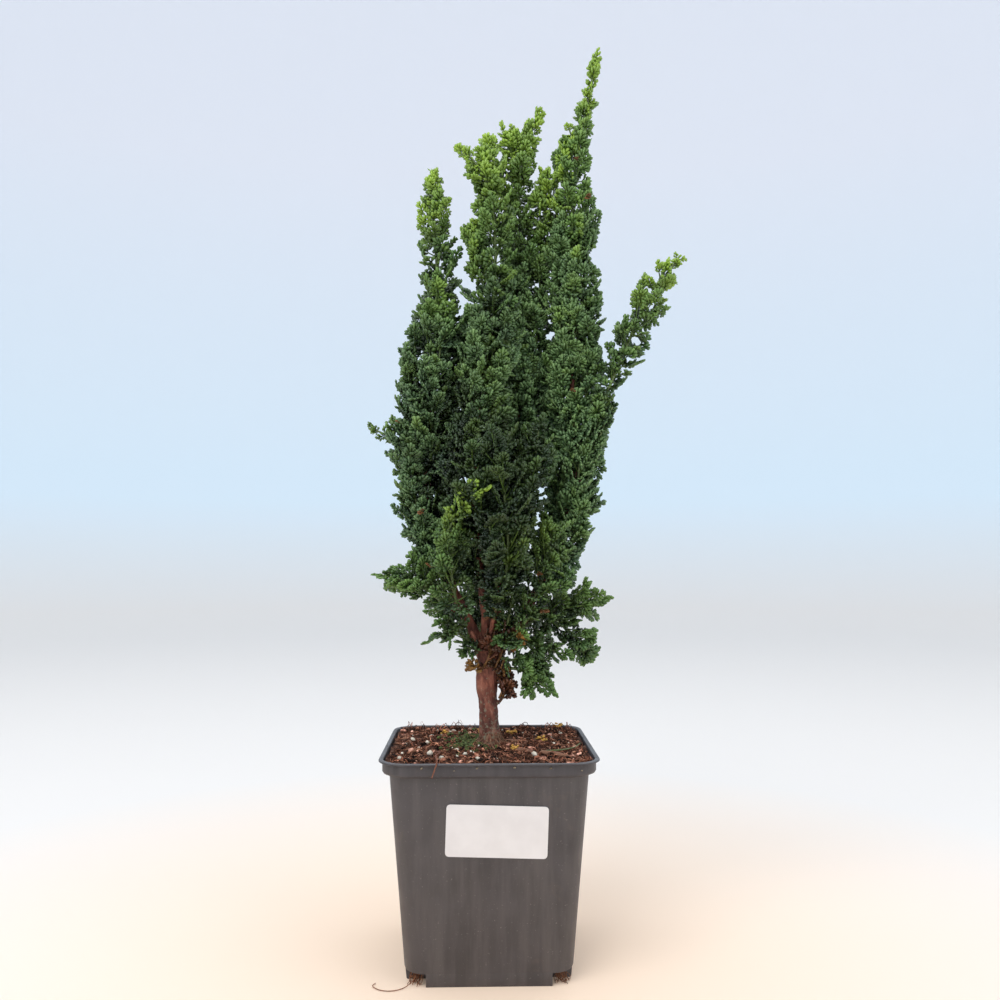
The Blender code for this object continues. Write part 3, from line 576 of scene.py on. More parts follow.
def scatterBits(name, places, size, shapes, material, rng, stretch=(1, 1, 1)):
    gather = Gather()
    for spot in places:
        points, triangles = shapes[rng.randrange(len(shapes))]
        points = points * stretch @ turnArray(rng, 0.6).T * rng.uniform(*size)
        gather.add(points + spot, triangles, tintOf(rng, 0.75, 1.15))
    loosePiece(gather, name, material)


def leafBitShape():
    # a small dry sprig: one blunt scale with two shorter ones beside it
    points, triangles = shootShape(True)
    made, faces = [], []
    for k, (angle, long) in enumerate(((0, 1.0), (0.9, 0.7), (-0.8, 0.6))):
        x = points[:, 0] * 0.42 * math.cos(angle) + points[:, 1] * long * math.sin(angle)
        y = points[:, 1] * long * math.cos(angle) - points[:, 0] * 0.42 * math.sin(angle)
        made.append(np.stack([x, y, points[:, 2] * 0.3 + 0.1 * k], axis=1))
        faces.append(triangles + k * len(points))
    return np.concatenate(made) - (0, 0.5, 0), np.concatenate(faces)


def makeSoilBits(rng):
    facts = bitFacts
    spots = list(facts["perlite"])
    while len(spots) < len(facts["perlite"]) + facts["morePerlite"]:
        x, y = rng.uniform(-46, 46), rng.uniform(-46, 46)
        if math.hypot(x, y) > 12:
            spots.append((x, y))
    grains = [crumbShape(seed, 2) for seed in range(11, 15)]
    white = makeGrainMaterial("perliteWhite", (0.95, 0.88, 0.74), (0.60, 0.52, 0.40), 0.85)
    large = [(x, y, crumbHeight(x, y) + 1.0) for x, y in spots[:len(facts["perlite"])]]
    small = [(x, y, crumbHeight(x, y) + 0.6) for x, y in spots[len(facts["perlite"]):]]
    scatterBits("soil_perlite", large, (2.4, 4.0), grains, white, rng)
    scatterBits("soil_perlite_fine", small, (0.9, 2.0), grains, white, rng)
    # dry yellow sprigs
    yellow = makeGrainMaterial("leafDry", (0.96, 0.58, 0.12), (0.72, 0.36, 0.06), 0.7)
    leaf = [leafBitShape()]
    places = []
    for x, y in facts["deadLeaves"]:
        for _ in range(3):
            px, py = x + rng.uniform(-1.6, 1.6), y + rng.uniform(-1.6, 1.6)
            places.append((px, py, crumbHeight(px, py) + 1.8))
    scatterBits("soil_dry_leaves", places, (3.2, 5.2), leaf, yellow, rng)
    # moss: soft lumps with tiny leaves standing out of them
    moss = makeGrainMaterial("mossGreen", (0.16, 0.20, 0.05), (0.018, 0.026, 0.010), 0.9)
    places = []
    for _ in range(facts["mossLumps"]):
        x = facts["mossMiddle"][0] + rng.gauss(0, facts["mossReach"][0] / 2)
        y = facts["mossMiddle"][1] + rng.gauss(0, facts["mossReach"][1] / 2)
        if math.hypot(x - 1, y) > 6:
            places.append((x, y, crumbHeight(x, y) + 1.4))
    scatterBits("soil_moss", places, (1.2, 3.0), grains[:2] + leaf, moss, rng)
    # flat pieces of bark, a green stem and the red-brown twig over the rim
    wood = makeGrainMaterial("woodBits", (0.30, 0.15, 0.085), (0.12, 0.05, 0.03), 0.9)
    gather = Gather()
    for (ax, ay, ah), (bx, by, bh), thick in facts["barkBits"]:
        spine = []
        for k in range(9):
            t = k / 8
            x, y = ax + (bx - ax) * t, ay + (by - ay) * t
            spine.append((x + rng.uniform(-0.2, 0.2), y, crumbHeight(x, y) * 0.3 + 0.7 * crumbHeight(ax, ay)
                          + ah + (bh - ah) * t))
        radii = [thick * (0.7 + 0.3 * math.sin(math.pi * min(1, k / 8 + 0.1))) for k in range(9)]
        points, triangles = tubeArrays(spine, radii, 9)
        middle = points.mean(axis=0)
        points = (points - middle) * (1, 1, 0.55) + middle
        points += 0.25 * np.array([noise.noise_vector(Vector(p) * 1.3) for p in points])
        gather.add(points, triangles, tintOf(rng, 1.0, 1.3))
    points, triangles = tubeArrays(smoothLine(facts["redTwig"], 4), np.linspace(0.5, 0.3, 21), 6)
    gather.add(points, triangles, np.array((0.95, 0.75, 0.75, 1)))
    loosePiece(gather, "soil_wood_bits", wood)
    line = [(x, y, crumbHeight(x, y) + h) for x, y, h in facts["greenStem"]]
    points, triangles = tubeArrays(smoothLine(line, 5), np.linspace(0.4, 0.25, 16), 5)
    stem = meshPiece("soil_green_stem", points * mm, triangles)
    smoothBy(stem)
    dress(stem, makeStemMaterial(), "foliage_fresh")
    pale = makeGrainMaterial("rimCrumbs", (0.36, 0.30, 0.20), (0.14, 0.10, 0.06), 0.9)
    places = [(x, -53.7, z) for x, z in facts["rimCrumbs"]]
    scatterBits("rim_crumbs", places, (0.8, 2.4), grains, pale, rng, (1, 1, 0.7))
    makeNotchRoots(rng)


def smoothLine(points, steps=None):
    # a smooth curve through the points, with this many steps from each to the next, or one every 9 mm or so
    points = [Vector(p) for p in points]
    knots = [2 * points[0] - points[1]] + points + [2 * points[-1] - points[-2]]
    line = [points[0]]
    for a, b, c, d in zip(knots, knots[1:], knots[2:], knots[3:]):
        count = steps or max(1, round((c - b).to_3d().length / 9))
        for k in range(1, count + 1):
            t = k / count
            line.append(0.5 * (2 * b + (c - a) * t + (2 * a - 5 * b + 4 * c - d) * t**2
                               + (3 * b - a - 3 * c + d) * t**3))
    return line


rootFacts = {"each": 26, "drain": 35.1, "reach": 4.5, "top": 6.8,
             "long": [(-36, -37, 3.0), (-41, -42, 0.8), (-47, -45, 0.5), (-53, -44, 0.5), (-57, -40, 0.6),
                      (-56, -36.5, 0.5)]}


def makeNotchRoots(rng):
    # fine roots that grow out of the drain holes into the four corner notches
    facts = rootFacts
    gather = Gather()
    for sx in (-1, 1):
        for sy in (-1, 1):
            for _ in range(facts["each"]):
                x = sx * (facts["drain"] + rng.uniform(-2.2, 2.2))
                y = sy * (facts["drain"] + rng.uniform(-2.2, 2.2))
                line = [(x, y, facts["top"])]
                for k in range(1, 4):
                    x += rng.uniform(-0.5, 1) * facts["reach"] * sx * 0.45
                    y += rng.uniform(-0.5, 1) * facts["reach"] * sy * 0.45
                    x, y = sx * min(40.5, abs(x)), sy * min(40.5, abs(y))
                    line.append((x, y, max(0.35, facts["top"] - 2.4 * k + rng.uniform(-1, 1))))
                points, triangles = tubeArrays(smoothLine(line, 3), [0.2] * 10, 3)
                gather.add(points, triangles, tintOf(rng, 0.6, 1.6, 0.2))
    points, triangles = tubeArrays(smoothLine(facts["long"], 5), [0.22] * 26, 4)
    gather.add(points, triangles, np.array((1.3, 1.0, 0.8, 1)))
    brown = makeGrainMaterial("rootBrown", (0.26, 0.13, 0.07), (0.12, 0.05, 0.03), 0.9)
    loosePiece(gather, "notch_roots", brown)


# trunk

trunkFacts = {
    "voxel": 0.95, "bark": 0.5, "fine": 0.2, "swell": 0.7, "rootHairs": 90,
    # surface roots: direction in degrees, reach and thickness
    "roots": [(200, 13, 2.2), (250, 16, 1.8), (310, 12, 2.0), (20, 15, 1.9), (80, 11, 1.7), (140, 14, 2.0)],
}


def makeBarkMaterial():
    paint = Paint("barkRed", 0.75)
    ridge = paint.noise(330, 6, 0.7, (1, 1, 0.3), 0.8)
    base = paint.ramp(ridge, (0.26, (0.028, 0.009, 0.006)), (0.42, (0.130, 0.038, 0.022)),
                      (0.58, (0.270, 0.100, 0.060)), (0.78, (0.50, 0.29, 0.20)))
    wide = paint.ramp(paint.noise(110, 4), (0.35, (0.62, 0.58, 0.60)), (0.65, (1.25, 1.1, 1.05)))
    colour = paint.mix(1.0, base, wide, "MULTIPLY")
    # greyish green specks of algae, most of them near the soil
    speck = paint.add("ShaderNodeMath", operation="ADD")
    paint.links.new(paint.noise(520, 3, 0.6), speck.inputs[0])
    paint.links.new(paint.span(paint.height(), 0.105, 0.145, 0.12, -0.04), speck.inputs[1])
    share = paint.ramp(speck.outputs[0], (0.60, 0), (0.68, 0.75))
    paint.give("Base Color", paint.mix(share, colour, (0.24, 0.22, 0.14)))
    paint.bump(ridge, 0.9, 0.0009)
    return paint.material


def makeRootHairs():
    # fibrous roots that hug the foot of the trunk and spread over the soil
    rng = random.Random(29)
    gather = Gather()
    for _ in range(trunkFacts["rootHairs"]):
        turn = rng.uniform(0, 2 * math.pi)
        out = rng.uniform(7, 12)
        line = []
        for k in range(5):
            t = k / 4
            away = 5.4 + (out - 5.4) * t**1.6
            turn += rng.uniform(-0.22, 0.22)
            x, y = 1 + away * math.cos(turn), away * math.sin(turn)
            ground = crumbHeight(x, y) + 0.6
            line.append((x, y, max(ground, 115.5 - 7 * t**0.8 + rng.uniform(-0.5, 0.5))))
        points, triangles = tubeArrays(smoothLine(line, 2), [rng.uniform(0.1, 0.26)] * 9, 4)
        gather.add(points, triangles, tintOf(rng, 0.5, 2.4, 0.15))
    brown = makeGrainMaterial("rootHair", (0.20, 0.12, 0.075), (0.07, 0.035, 0.022), 0.9)
    loosePiece(gather, "root_hairs", brown)


def makeTrunk():
    facts = trunkFacts
    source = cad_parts["trunk"]
    clearPick()
    bark = source.copy()
    bark.data = source.data.copy()
    bark.name = "trunk_bark"
    for key in list(bark.keys()):
        del bark[key]
    bark.parent = None
    bpy.context.scene.collection.objects.link(bark)
    makeActive(bark)
    bpy.ops.object.mode_set(mode="EDIT")
    bpy.ops.mesh.select_all(action="SELECT")
    bpy.ops.mesh.remove_doubles(threshold=0.00001)
    bpy.ops.object.mode_set(mode="OBJECT")
    # surface roots that leave the foot of the trunk and dive into the soil
    roots = []
    for turn, long, thick in facts["roots"]:
        angle = math.radians(turn)
        spine = []
        for k in range(7):
            t = k / 6
            away = 3.0 + (long - 3.0) * t
            bend = angle + 0.35 * math.sin(2.2 * t + turn)
            sunk = 6.5 * t**0.6 + 3.5 * t**3
            spine.append((1 + away * math.cos(bend), away * math.sin(bend), 111.5 - sunk))
        points, triangles = tubeArrays(spine, [thick * (1 - 0.6 * k / 6) for k in range(7)], 8)
        roots.append(meshPiece("root", points * mm, triangles))
    makeActive(bark)
    for root in roots:
        root.select_set(True)
    bpy.ops.object.join()
    bark.data.remesh_voxel_size = facts["voxel"] * mm
    bpy.ops.object.voxel_remesh()
    soft = bark.modifiers.new("soft", "SMOOTH")
    soft.iterations = 3
    soft.factor = 0.5
    applyAll(bark)
    data = bark.data
    points = np.empty(len(data.vertices) * 3, np.float32)
    data.vertices.foreach_get("co", points)
    normals = np.empty(len(data.vertices) * 3, np.float32)
    data.vertices.foreach_get("normal", normals)
    points, normals = points.reshape(-1, 3), normals.reshape(-1, 3)
    shift = np.empty(len(points))
    for i, (x, y, z) in enumerate(points / mm):
        ridge = noise.fractal(Vector((x * 0.35, y * 0.35, z * 0.09)), 0.6, 2.2, 4)
        fine = noise.noise(Vector((x * 1.1, y * 1.1, z * 0.5)))
        low = max(0.25, min(1.0, (240 - z) / 90))
        shift[i] = low * (facts["bark"] * ridge + facts["fine"] * fine)
        if 130 < z < 158 and math.hypot(x, y) < 8:
            shift[i] += facts["swell"] * math.sin(math.pi * (z - 130) / 28)**2
    points += normals * shift[:, None] * mm
    data.vertices.foreach_set("co", points.ravel())
    data.update()
    smoothBy(bark, 60)
    dress(bark, makeBarkMaterial(), "bark", "trunk")
    makeRootHairs()
    print("trunk is done,", len(data.polygons), "faces")


# foliage: every leader's route as (x, y, z, foliage radius), its wood's radii at the fork and at the end of
# the brown wood, the share of its length that is brown, the share without leaves at its tip node where that
# differs, and its tiers of side branchlets as (start, end, count, turn)
plainBranch = {"fresh": 1.0, "tone": 0.0, "bark": (1.7, 0.9), "brown": 0.25, "tiers": []}

leaders = {
    "left": {
        "route": [(-1, 0, 152, 0), (-9, -2, 172, 6), (-20, -4, 192, 12), (-30, -5, 222, 16),
                  (-34, -6, 255, 18.5), (-33, -7, 290, 19), (-30, -8, 324, 17), (-28.5, -8, 350, 14.5),
                  (-29, -8, 372, 12), (-31, -8, 395, 9.5), (-31.5, -8, 413, 5), (-31.5, -8, 426, 3)],
        "bark": (3.9, 1.3), "brown": 0.62, "tiers": [(0.18, 0.42, 3, 200), (0.38, 0.66, 3, 260)]},
    "front": {
        "route": [(-1, -1, 154, 0), (-2, -8, 182, 8), (-6, -15, 212, 14), (-8, -18, 250, 17.5),
                  (-5, -17, 290, 17), (0, -15, 325, 15.5), (3, -14, 360, 13.5), (3, -13, 395, 12.5),
                  (-1, -12, 418, 9), (-9, -12, 430, 5), (-16, -13, 436, 2.5)],
        "bark": (3.0, 1.2), "brown": 0.62, "tiers": [(0.14, 0.40, 2, 290), (0.37, 0.66, 3, 310)]},
    "middle": {
        "route": [(0, 1, 154, 0), (6, 5, 184, 7), (12, 9, 215, 12), (15, 11, 250, 15.5),
                  (17, 11, 290, 16.5), (19, 11, 330, 16), (20, 10, 370, 14.5), (18, 9, 405, 14),
                  (17.5, 8, 435, 11), (23, 8, 455, 5.5), (29, 8, 467, 2.5)],
        "bark": (3.4, 1.3), "brown": 0.66, "tiers": [(0.16, 0.42, 3, 20), (0.39, 0.69, 3, 80)]},
    "right": {
        "route": [(0, 0, 150, 0), (10, 3, 168, 4), (25, 4, 188, 9), (40, 5, 215, 14), (47, 5, 245, 16),
                  (48, 5, 280, 17), (47, 4, 315, 16), (48, 4, 350, 15), (47.5, 4, 385, 14.5),
                  (48, 4, 415, 14), (51, 4, 445, 9.5), (56, 4, 468, 5.5), (59.5, 4, 485, 4),
                  (62.3, 4, 499, 2.5)],
        "tone": 0.4,
        "bark": (4.1, 1.3), "brown": 0.62,
        "tiers": [(0.16, 0.38, 3, 10), (0.36, 0.56, 3, 70), (0.53, 0.72, 2, 300)]},
    "far_right": {
        "route": [(43, 5, 226, 0), (53, -2, 258, 5), (62, -7, 292, 8.5), (74, -9, 322, 12.5),
                  (85, -10, 345, 12), (96, -10, 363, 9), (105, -10, 376, 3.5)],
        "bark": (2.0, 1.1), "brown": 0.2, "tiers": [(0.20, 0.44, 2, 60)]},
    "back": {
        "route": [(0, 2, 156, 0), (4, 16, 186, 8), (8, 29, 222, 14), (10, 36, 262, 16),
                  (10, 37, 305, 15), (11, 36, 340, 12), (13, 34, 368, 8), (14, 33, 388, 3)],
        "bark": (3.0, 1.3), "brown": 0.58, "tiers": [(0.16, 0.45, 2, 110), (0.42, 0.72, 3, 90)]},
    "low_front": {
        "route": [(-1, -3, 160, 0), (3, -16, 180, 9), (9, -28, 203, 15), (9, -34, 230, 16),
                  (5, -37, 258, 12), (1, -38, 278, 3)],
        # its lower tone, and that of its arms, is painted shade for the dark hollow at the front
        "fresh": 0.05, "tone": -0.3, "bare": 0.14,
        "bark": (2.0, 1.0), "brown": 0.34, "tiers": [(0.24, 0.62, 1, 300)]},
    "low_left": {
        "route": [(-12, -3, 177, 0), (-23, -12, 184, 9), (-34, -17, 195, 13), (-42, -16, 201, 11),
                  (-45, -15, 197, 5)],
        "fresh": 0.15},
    "low_left_under": {
        "route": [(-4, -2, 157, 0), (-12, -9, 167, 10), (-19, -14, 171, 13), (-24, -17, 171, 7)],
        "fresh": 0.1},
    "low_front_left": {
        "route": [(-2, -3, 159, 0), (-10, -15, 171, 10), (-17, -22, 186, 15), (-20, -26, 204, 14),
                  (-19, -28, 220, 4)],
        "fresh": 0.15, "bare": 0.5},
    "low_front_right": {
        "route": [(6, 1, 166, 0), (16, -12, 177, 11), (25, -19, 191, 15), (31, -21, 208, 14),
                  (33, -22, 224, 4)],
        "fresh": 0.15},
    "low_right": {
        "route": [(14, 2, 173, 0), (27, -3, 177, 10), (39, -6, 183, 13), (47, -8, 185, 12),
                  (51, -9, 183, 6)],
        "fresh": 0.12, "brown": 0.2},
    "low_right_hanging": {
        "route": [(1, -3, 149, 0), (11, -8, 151, 6), (18, -11, 150, 9), (22.5, -12, 146, 8),
                  (22, -12, 141, 4)],
        "fresh": 0.1, "brown": 0.3},
    "low_back": {
        "route": [(-1, 2, 157, 0), (-9, 16, 170, 9), (-17, 29, 180, 13), (-25, 41, 184, 4)],
        "fresh": 0.1},
    "low_back_right": {
        "route": [(3, 3, 158, 0), (17, 15, 168, 9), (31, 25, 177, 13), (42, 33, 184, 4)],
        "fresh": 0.1},
    "dead_tuft": {
        "route": [(3, -1, 131, 0), (6, -3, 134, 5), (8, -4, 139, 5), (8.5, -5, 144, 3)],
        "fresh": 0.0, "brown": 0.3},
    "side_left_back": {
        "route": [(-12, -2, 178, 0), (-19, 9, 196, 8), (-27, 18, 224, 12), (-29, 22, 260, 12),
                  (-27, 23, 294, 3)],
        "fresh": 0.3},
    "side_right_back": {
        "route": [(38, 6, 210, 0), (42, 18, 230, 8), (40, 28, 256, 11), (37, 31, 286, 9),
                  (36, 32, 312, 3)],
        "fresh": 0.3},
}

# further branchlets of some nodes: a route of (x, y, z, foliage radius), the share of yellow-green and how
# much lighter the tone is
arms = {
    "middle_tip": [
        ([(19, 8, 420, 5), (14, 7, 438, 7), (10, 6, 449, 5), (9, 6, 456, 2.5)], 1.0, 0.1),
        ([(18, 8, 405, 5), (8, 6, 424, 8), (2, 4, 438, 7), (-1, 3, 446, 3)], 1.0, 0.1),
        ([(17, 8, 430, 4), (16, 8, 442, 5), (15, 8, 450, 4), (14, 8, 456, 2.5)], 1.0, 0.1)],
    "front_tip": [
        ([(2, -13, 398, 5), (2, -11, 415, 7), (0, -9, 429, 7), (-5, -8, 439, 3)], 1.0, 0.1),
        ([(0, -12, 352, 6), (-6, -12, 368, 7), (-8, -12, 382, 6), (-8, -12, 393, 3)], 0.5, 0.1)],
    "right_tip": [
        ([(48, 4, 385, 6), (40, 3, 402, 8), (35, 2, 417, 7), (33, 2, 430, 3)], 0.9, 0.1),
        ([(49, 4, 412, 5), (44, 3, 428, 6), (42, 3, 439, 3.5), (42, 3, 445, 2)], 1.0, 0.1),
        ([(52, 4, 442, 4), (48, 4, 451, 4), (46, 4, 457, 2.5)], 1.0, 0.1),
        ([(40, 5, 372, 5), (32, 6, 392, 8), (29, 6, 408, 8), (29, 6, 420, 3)], 0.5, 0.0)],
    "dead_tuft": [
        ([(-3, -5, 150, 4), (0, -7, 156, 7), (2, -9, 164, 7), (3, -10, 172, 3)], 0.06, -0.1),
        ([(3, -5, 149, 4), (6, -7, 156, 7), (9, -9, 164, 7), (10, -10, 172, 3)], 0.03, -0.2),
        ([(4, -4, 148, 3), (8, -7, 150, 5), (11, -8, 151, 3)], 0.3, 0.1),
        ([(-5, -4, 151, 3), (-8, -7, 152, 4), (-11, -8, 151, 2)], 0.6, 0.2),
        ([(13, -12, 160, 2), (16, -15, 165, 4), (16, -15, 170, 2)], 0.5, 0.2),
        ([(6, -2, 132, 2), (8, -4, 135, 6), (9, -5, 141, 4)], 0.0, 0.0)],
    "left_2a": [
        ([(-44, -6, 266, 3), (-52, -5, 275, 5), (-60, -4, 279, 4), (-65, -4, 281, 2)], 0.4, 0.0)],
    "low_front_tip": [
        # the lower tone of these two arms is painted shade for the hollow at the front
        ([(7, -24, 205, 6), (-2, -32, 226, 12), (-8, -36, 250, 11), (-9, -36, 268, 4)], 0.05, -0.2),
        ([(8, -26, 212, 6), (18, -30, 236, 11), (24, -29, 262, 10), (26, -28, 280, 4)], 0.05, -0.2),
        ([(-24, -24, 218, 3), (-18, -32, 230, 8), (-11, -38, 240, 7), (-5, -41, 246, 3)], 0.9, 0.1)],
    "low_front_right_tip": [
        ([(4, -4, 160, 3), (10, -12, 166, 9), (17, -18, 172, 10), (22, -20, 180, 4)], 0.08, 0.0),
        ([(12, -8, 168, 4), (24, -12, 164, 8), (33, -13, 161, 6), (37, -13, 160, 3)], 0.08, 0.0),
        ([(6, -6, 166, 3), (10, -13, 175, 9), (12, -17, 186, 9), (12, -19, 196, 4)], 0.08, 0.0)],
    "low_right_hanging_tip": [
        ([(6, -6, 156, 3), (13, -9, 155, 7), (20, -11, 153, 7), (25, -12, 150, 3)], 0.1, 0.0)],
    "low_right_tip": [
        ([(30, -5, 178, 5), (42, -8, 172, 9), (49, -9, 165, 9), (52, -9, 158, 4)], 0.08, 0.0)],
    "low_left_under_tip": [
        ([(-4, -4, 160, 3), (-8, -9, 161, 9), (-12, -10, 162, 8), (-14, -11, 161, 4)], 0.08, 0.1)],
    "low_back_tip": [
        ([(-2, 5, 160, 3), (-5, 12, 174, 9), (-6, 14, 188, 9), (-6, 14, 200, 4)], 0.05, -0.3)],
    "low_left_tip": [
        ([(-14, -8, 172, 4), (-21, -12, 175, 9), (-25, -14, 177, 7), (-27, -14, 176, 4)], 0.08, 0.1)],
}

# dry brown sprigs here and there in the foliage
deadSprigs = [(34.5, -29, 180), (-47, -14, 283), (-37, -26, 238), (58, -4, 413), (48, -6, 437),
              (-4, -24, 172), (30, -24, 200), (-30, -26, 205), (40, -14, 300), (12, 28, 330),
              (-20, 30, 230)]

# places where the foliage is darker, as painted shade, or lighter, or fresher: (x, y, z), reach, lighter
# tone, yellow-green
spots = [
    ((4, -26, 262), 32, -1.1, 0.0), ((10, -28, 226), 24, -1.0, 0.0), ((4, -18, 188), 18, -0.5, 0.0),
    ((40, -12, 180), 24, -0.4, 0.0), ((22, -12, 148), 12, -0.3, 0.0), ((-16, -8, 310), 14, -0.3, 0.0),
    ((52, -8, 250), 30, 0.3, 0.0), ((48, -10, 320), 30, 0.25, 0.05), ((26, -22, 180), 14, 0.15, 0.05),
    ((22, -32, 222), 8, 0.3, 0.4), ((12, -32, 212), 8, 0.2, 0.3), ((-24, -20, 348), 12, 0.3, 0.35),
    ((-20, -12, 300), 12, -0.4, 0.0), ((2, -30, 300), 18, 0.15, 0.15), ((18, -12, 410), 26, 0.1, 0.15),
]

foliageFacts = {
    "seed": 5, "variants": 8,
    # distance between the places where twigs leave a stem
    "sideStep": 4.0, "tipStep": 3.2, "fillStep": 5.5,
    "perStep": 3, "fanLength": (6.2, 9.4), "fanStep": 2.5,
    "clump": 11.0, "gap": -0.46, "swell": 0.28,
    "inner": (0.55, 0.68), "thin": 0.6, "shade": (0.02, 0.75),
    # how far down from a tip the yellow-green reaches
    "apexFresh": 60.0,
    # corner colours of the wood: yellow-green, tone, place along the shoot, underside
    "twigColour": (0.25, 0.3, 0.25, 0.0), "stemColour": (0.3, 0.5, 0.3, 0.0),
}


class Leader:
    def __init__(self, facts):
        self.facts = {**plainBranch, **facts}
        self.path = smoothLine(facts["route"])
        self.lengths = [0.0]
        for a, b in zip(self.path, self.path[1:]):
            self.lengths.append(self.lengths[-1] + (b - a).to_3d().length)
        self.long = self.lengths[-1]

    def at(self, share):
        want = min(1.0, max(0.0, share)) * self.long
        i = 0
        while i < len(self.path) - 2 and self.lengths[i + 1] < want:
            i += 1
        t = (want - self.lengths[i]) / (self.lengths[i + 1] - self.lengths[i])
        here = self.path[i].lerp(self.path[i + 1], t)
        return here.to_3d(), (self.path[i + 1] - self.path[i]).to_3d().normalized(), here[3]

    def offset(self, share, t):
        # distance of a side branchlet from the leader's axis, t of the way along the branchlet
        radius = self.at(share)[2]
        thick, thin = self.facts["bark"]
        bark = thick + (thin - thick) * min(1.0, share / self.facts["brown"])**0.7
        least = bark + 1.2
        return max(least, least + (0.5 * radius - least) * min(1.0, 1.7 * t) + 0.2 * radius * t**3)


def sideVector(along, turn):
    front = Vector((0, -1, 0))
    base = (front - along * front.dot(along)).normalized()
    return Matrix.Rotation(turn, 3, along) @ base


def shootShape(fine):
    # one shoot, 1 long along y, with a corner of its three-sided section on top; a fine one has a blunt tip
    clearPick()
    rise = 0.62 if fine else 0.74
    bpy.ops.mesh.primitive_cone_add(vertices=3, radius1=0, radius2=0.5, depth=rise,
                                    location=(0, 0, rise / 2))
    shoot = bpy.context.object
    settle(shoot)
    bpy.ops.object.mode_set(mode="EDIT")
    pick(shoot, lambda f: len(f.verts) == 3 and f.normal.z > 0.9)
    if fine:
        bpy.ops.mesh.extrude_region_move(TRANSFORM_OT_translate={"value": (0, 0, 0.93 - rise)})
        bpy.ops.transform.resize(value=(0.62, 0.62, 1), center_override=(0, 0, 0))
    else:
        bpy.ops.mesh.extrude_region_move(TRANSFORM_OT_translate={"value": (0, 0, 1 - rise)})
        bpy.ops.mesh.merge(type="CENTER")
    bpy.ops.object.mode_set(mode="OBJECT")
    points, triangles = shapeArrays(shoot)
    corner = points[np.argmax(np.hypot(points[:, 0], points[:, 1]))]
    turn = math.pi / 2 - math.atan2(corner[1], corner[0])
    x = points[:, 0] * math.cos(turn) - points[:, 1] * math.sin(turn)
    top = points[:, 0] * math.sin(turn) + points[:, 1] * math.cos(turn)
    return np.stack([-x, points[:, 2], top], axis=1), triangles


def fanShapes(rng, fine):
    # flat fans of several shoots each, 1 long along y, with their top along z
    shoot, triangles = shootShape(fine)
    # pairs of side shoots: place along the fan, angle in degrees and length
    pairs = ((0.12, 58, 0.56), (0.44, 46, 0.5))
    if fine:
        pairs = ((0.10, 60, 0.52), (0.32, 50, 0.50), (0.56, 40, 0.40))
    fans = []
    for _ in range(foliageFacts["variants"]):
        gatherPoints, gatherTriangles, gatherAlong = [], [], []
        plan = [(0.0, 0.0, 1.0, 0.27 if fine else 0.34)]
        for root, angle, long in pairs:
            for side in (-1, 1):
                start = root + rng.uniform(-0.05, 0.05) + 0.06 * side
                turn = side * (angle + rng.uniform(-9, 9))
                reach = long * rng.uniform(0.8, 1.15)
                plan.append((start, turn, reach, rng.uniform(0.26, 0.32) if fine else 0.38))
        for root, angle, long, wide in plan:
            turn = math.radians(angle)
            points = shoot * (wide, long, 0.20)
            x = points[:, 0] * math.cos(turn) + points[:, 1] * math.sin(turn)
            y = -points[:, 0] * math.sin(turn) + points[:, 1] * math.cos(turn) + root
            z = points[:, 2] - 0.14 * y * y - 0.26 * x * x + rng.uniform(-0.04, 0.04)
            gatherTriangles.append(triangles + len(gatherPoints) * len(shoot))
            gatherAlong.append(shoot[:, 1] * (0.45 + 0.55 * long))
            gatherPoints.append(np.stack([x, y, z], axis=1))
        points = np.concatenate(gatherPoints)
        faces = np.concatenate(gatherTriangles)
        along = np.concatenate(gatherAlong)[faces]
        a, b, c = points[faces[:, 0]], points[faces[:, 1]], points[faces[:, 2]]
        under = (np.cross(b - a, c - a)[:, 2] < 0).astype(float)
        fans.append((points, faces, along, under))
    return fans


class Growth:
    # the twigs and fans of one node, kept as plain lists until they become one mesh
    def __init__(self, name):
        self.name = name
        self.fans = []
        self.twigs = []
        self.stems = []

    def addStem(self, places, thick, thin):
        steps = len(places) - 1
        radii = [thick + (thin - thick) * k / steps for k in range(steps + 1)]
        self.stems.append(([place[0] for place in places], radii))

    def addFan(self, root, ahead, up, size, fresh, tone):
        across = ahead.cross(up).normalized()
        up = across.cross(ahead)
        self.fans.append([(*across, *ahead, *up), tuple(root), size, fresh, tone])

    def addTwig(self, root, ahead, up, long, rng, fresh, lift, tone):
        # a flat twig of the given length with fans on both sides and one at its end
        tone = tone + rng.uniform(-0.22, 0.22)
        steps = 3
        spine = [root]
        direction = ahead.copy()
        for _ in range(steps):
            direction = (direction + lift / steps).normalized()
            spine.append(spine[-1] + direction * long / steps)
        self.twigs.append(spine)
        low, high = foliageFacts["fanLength"]
        bare = 0.0 if long < 5 else 0.2
        count = max(1, round(long * (1 - bare) / foliageFacts["fanStep"]))
        side = rng.choice((-1, 1))
        for k in range(count):
            t = bare + (1 - bare) * (k + 0.5) / (count + 0.2)
            spot = t * steps
            i = min(steps - 1, int(spot))
            here = spine[i].lerp(spine[i + 1], spot - i)
            along = (spine[i + 1] - spine[i]).normalized()
            normal = (up - along * up.dot(along)).normalized()
            side = -side
            turned = Matrix.Rotation(side * math.radians(rng.uniform(36, 60)), 3, normal) @ along
            tilted = Matrix.Rotation(rng.uniform(-0.3, 0.3), 3, turned) @ normal
            size = rng.uniform(low, high) * (1.0 - 0.15 * t)
            self.addFan(here, turned, tilted, size, fresh * (0.3 + 0.7 * t), tone + rng.uniform(-0.12, 0.12))
        along = (spine[-1] - spine[-2]).normalized()
        normal = (up - along * up.dot(along)).normalized()
        normal = Matrix.Rotation(rng.uniform(-0.3, 0.3), 3, along) @ normal
        self.addFan(spine[-1] - along * 1.5, along, normal, rng.uniform(low, high), fresh, tone + 0.1)


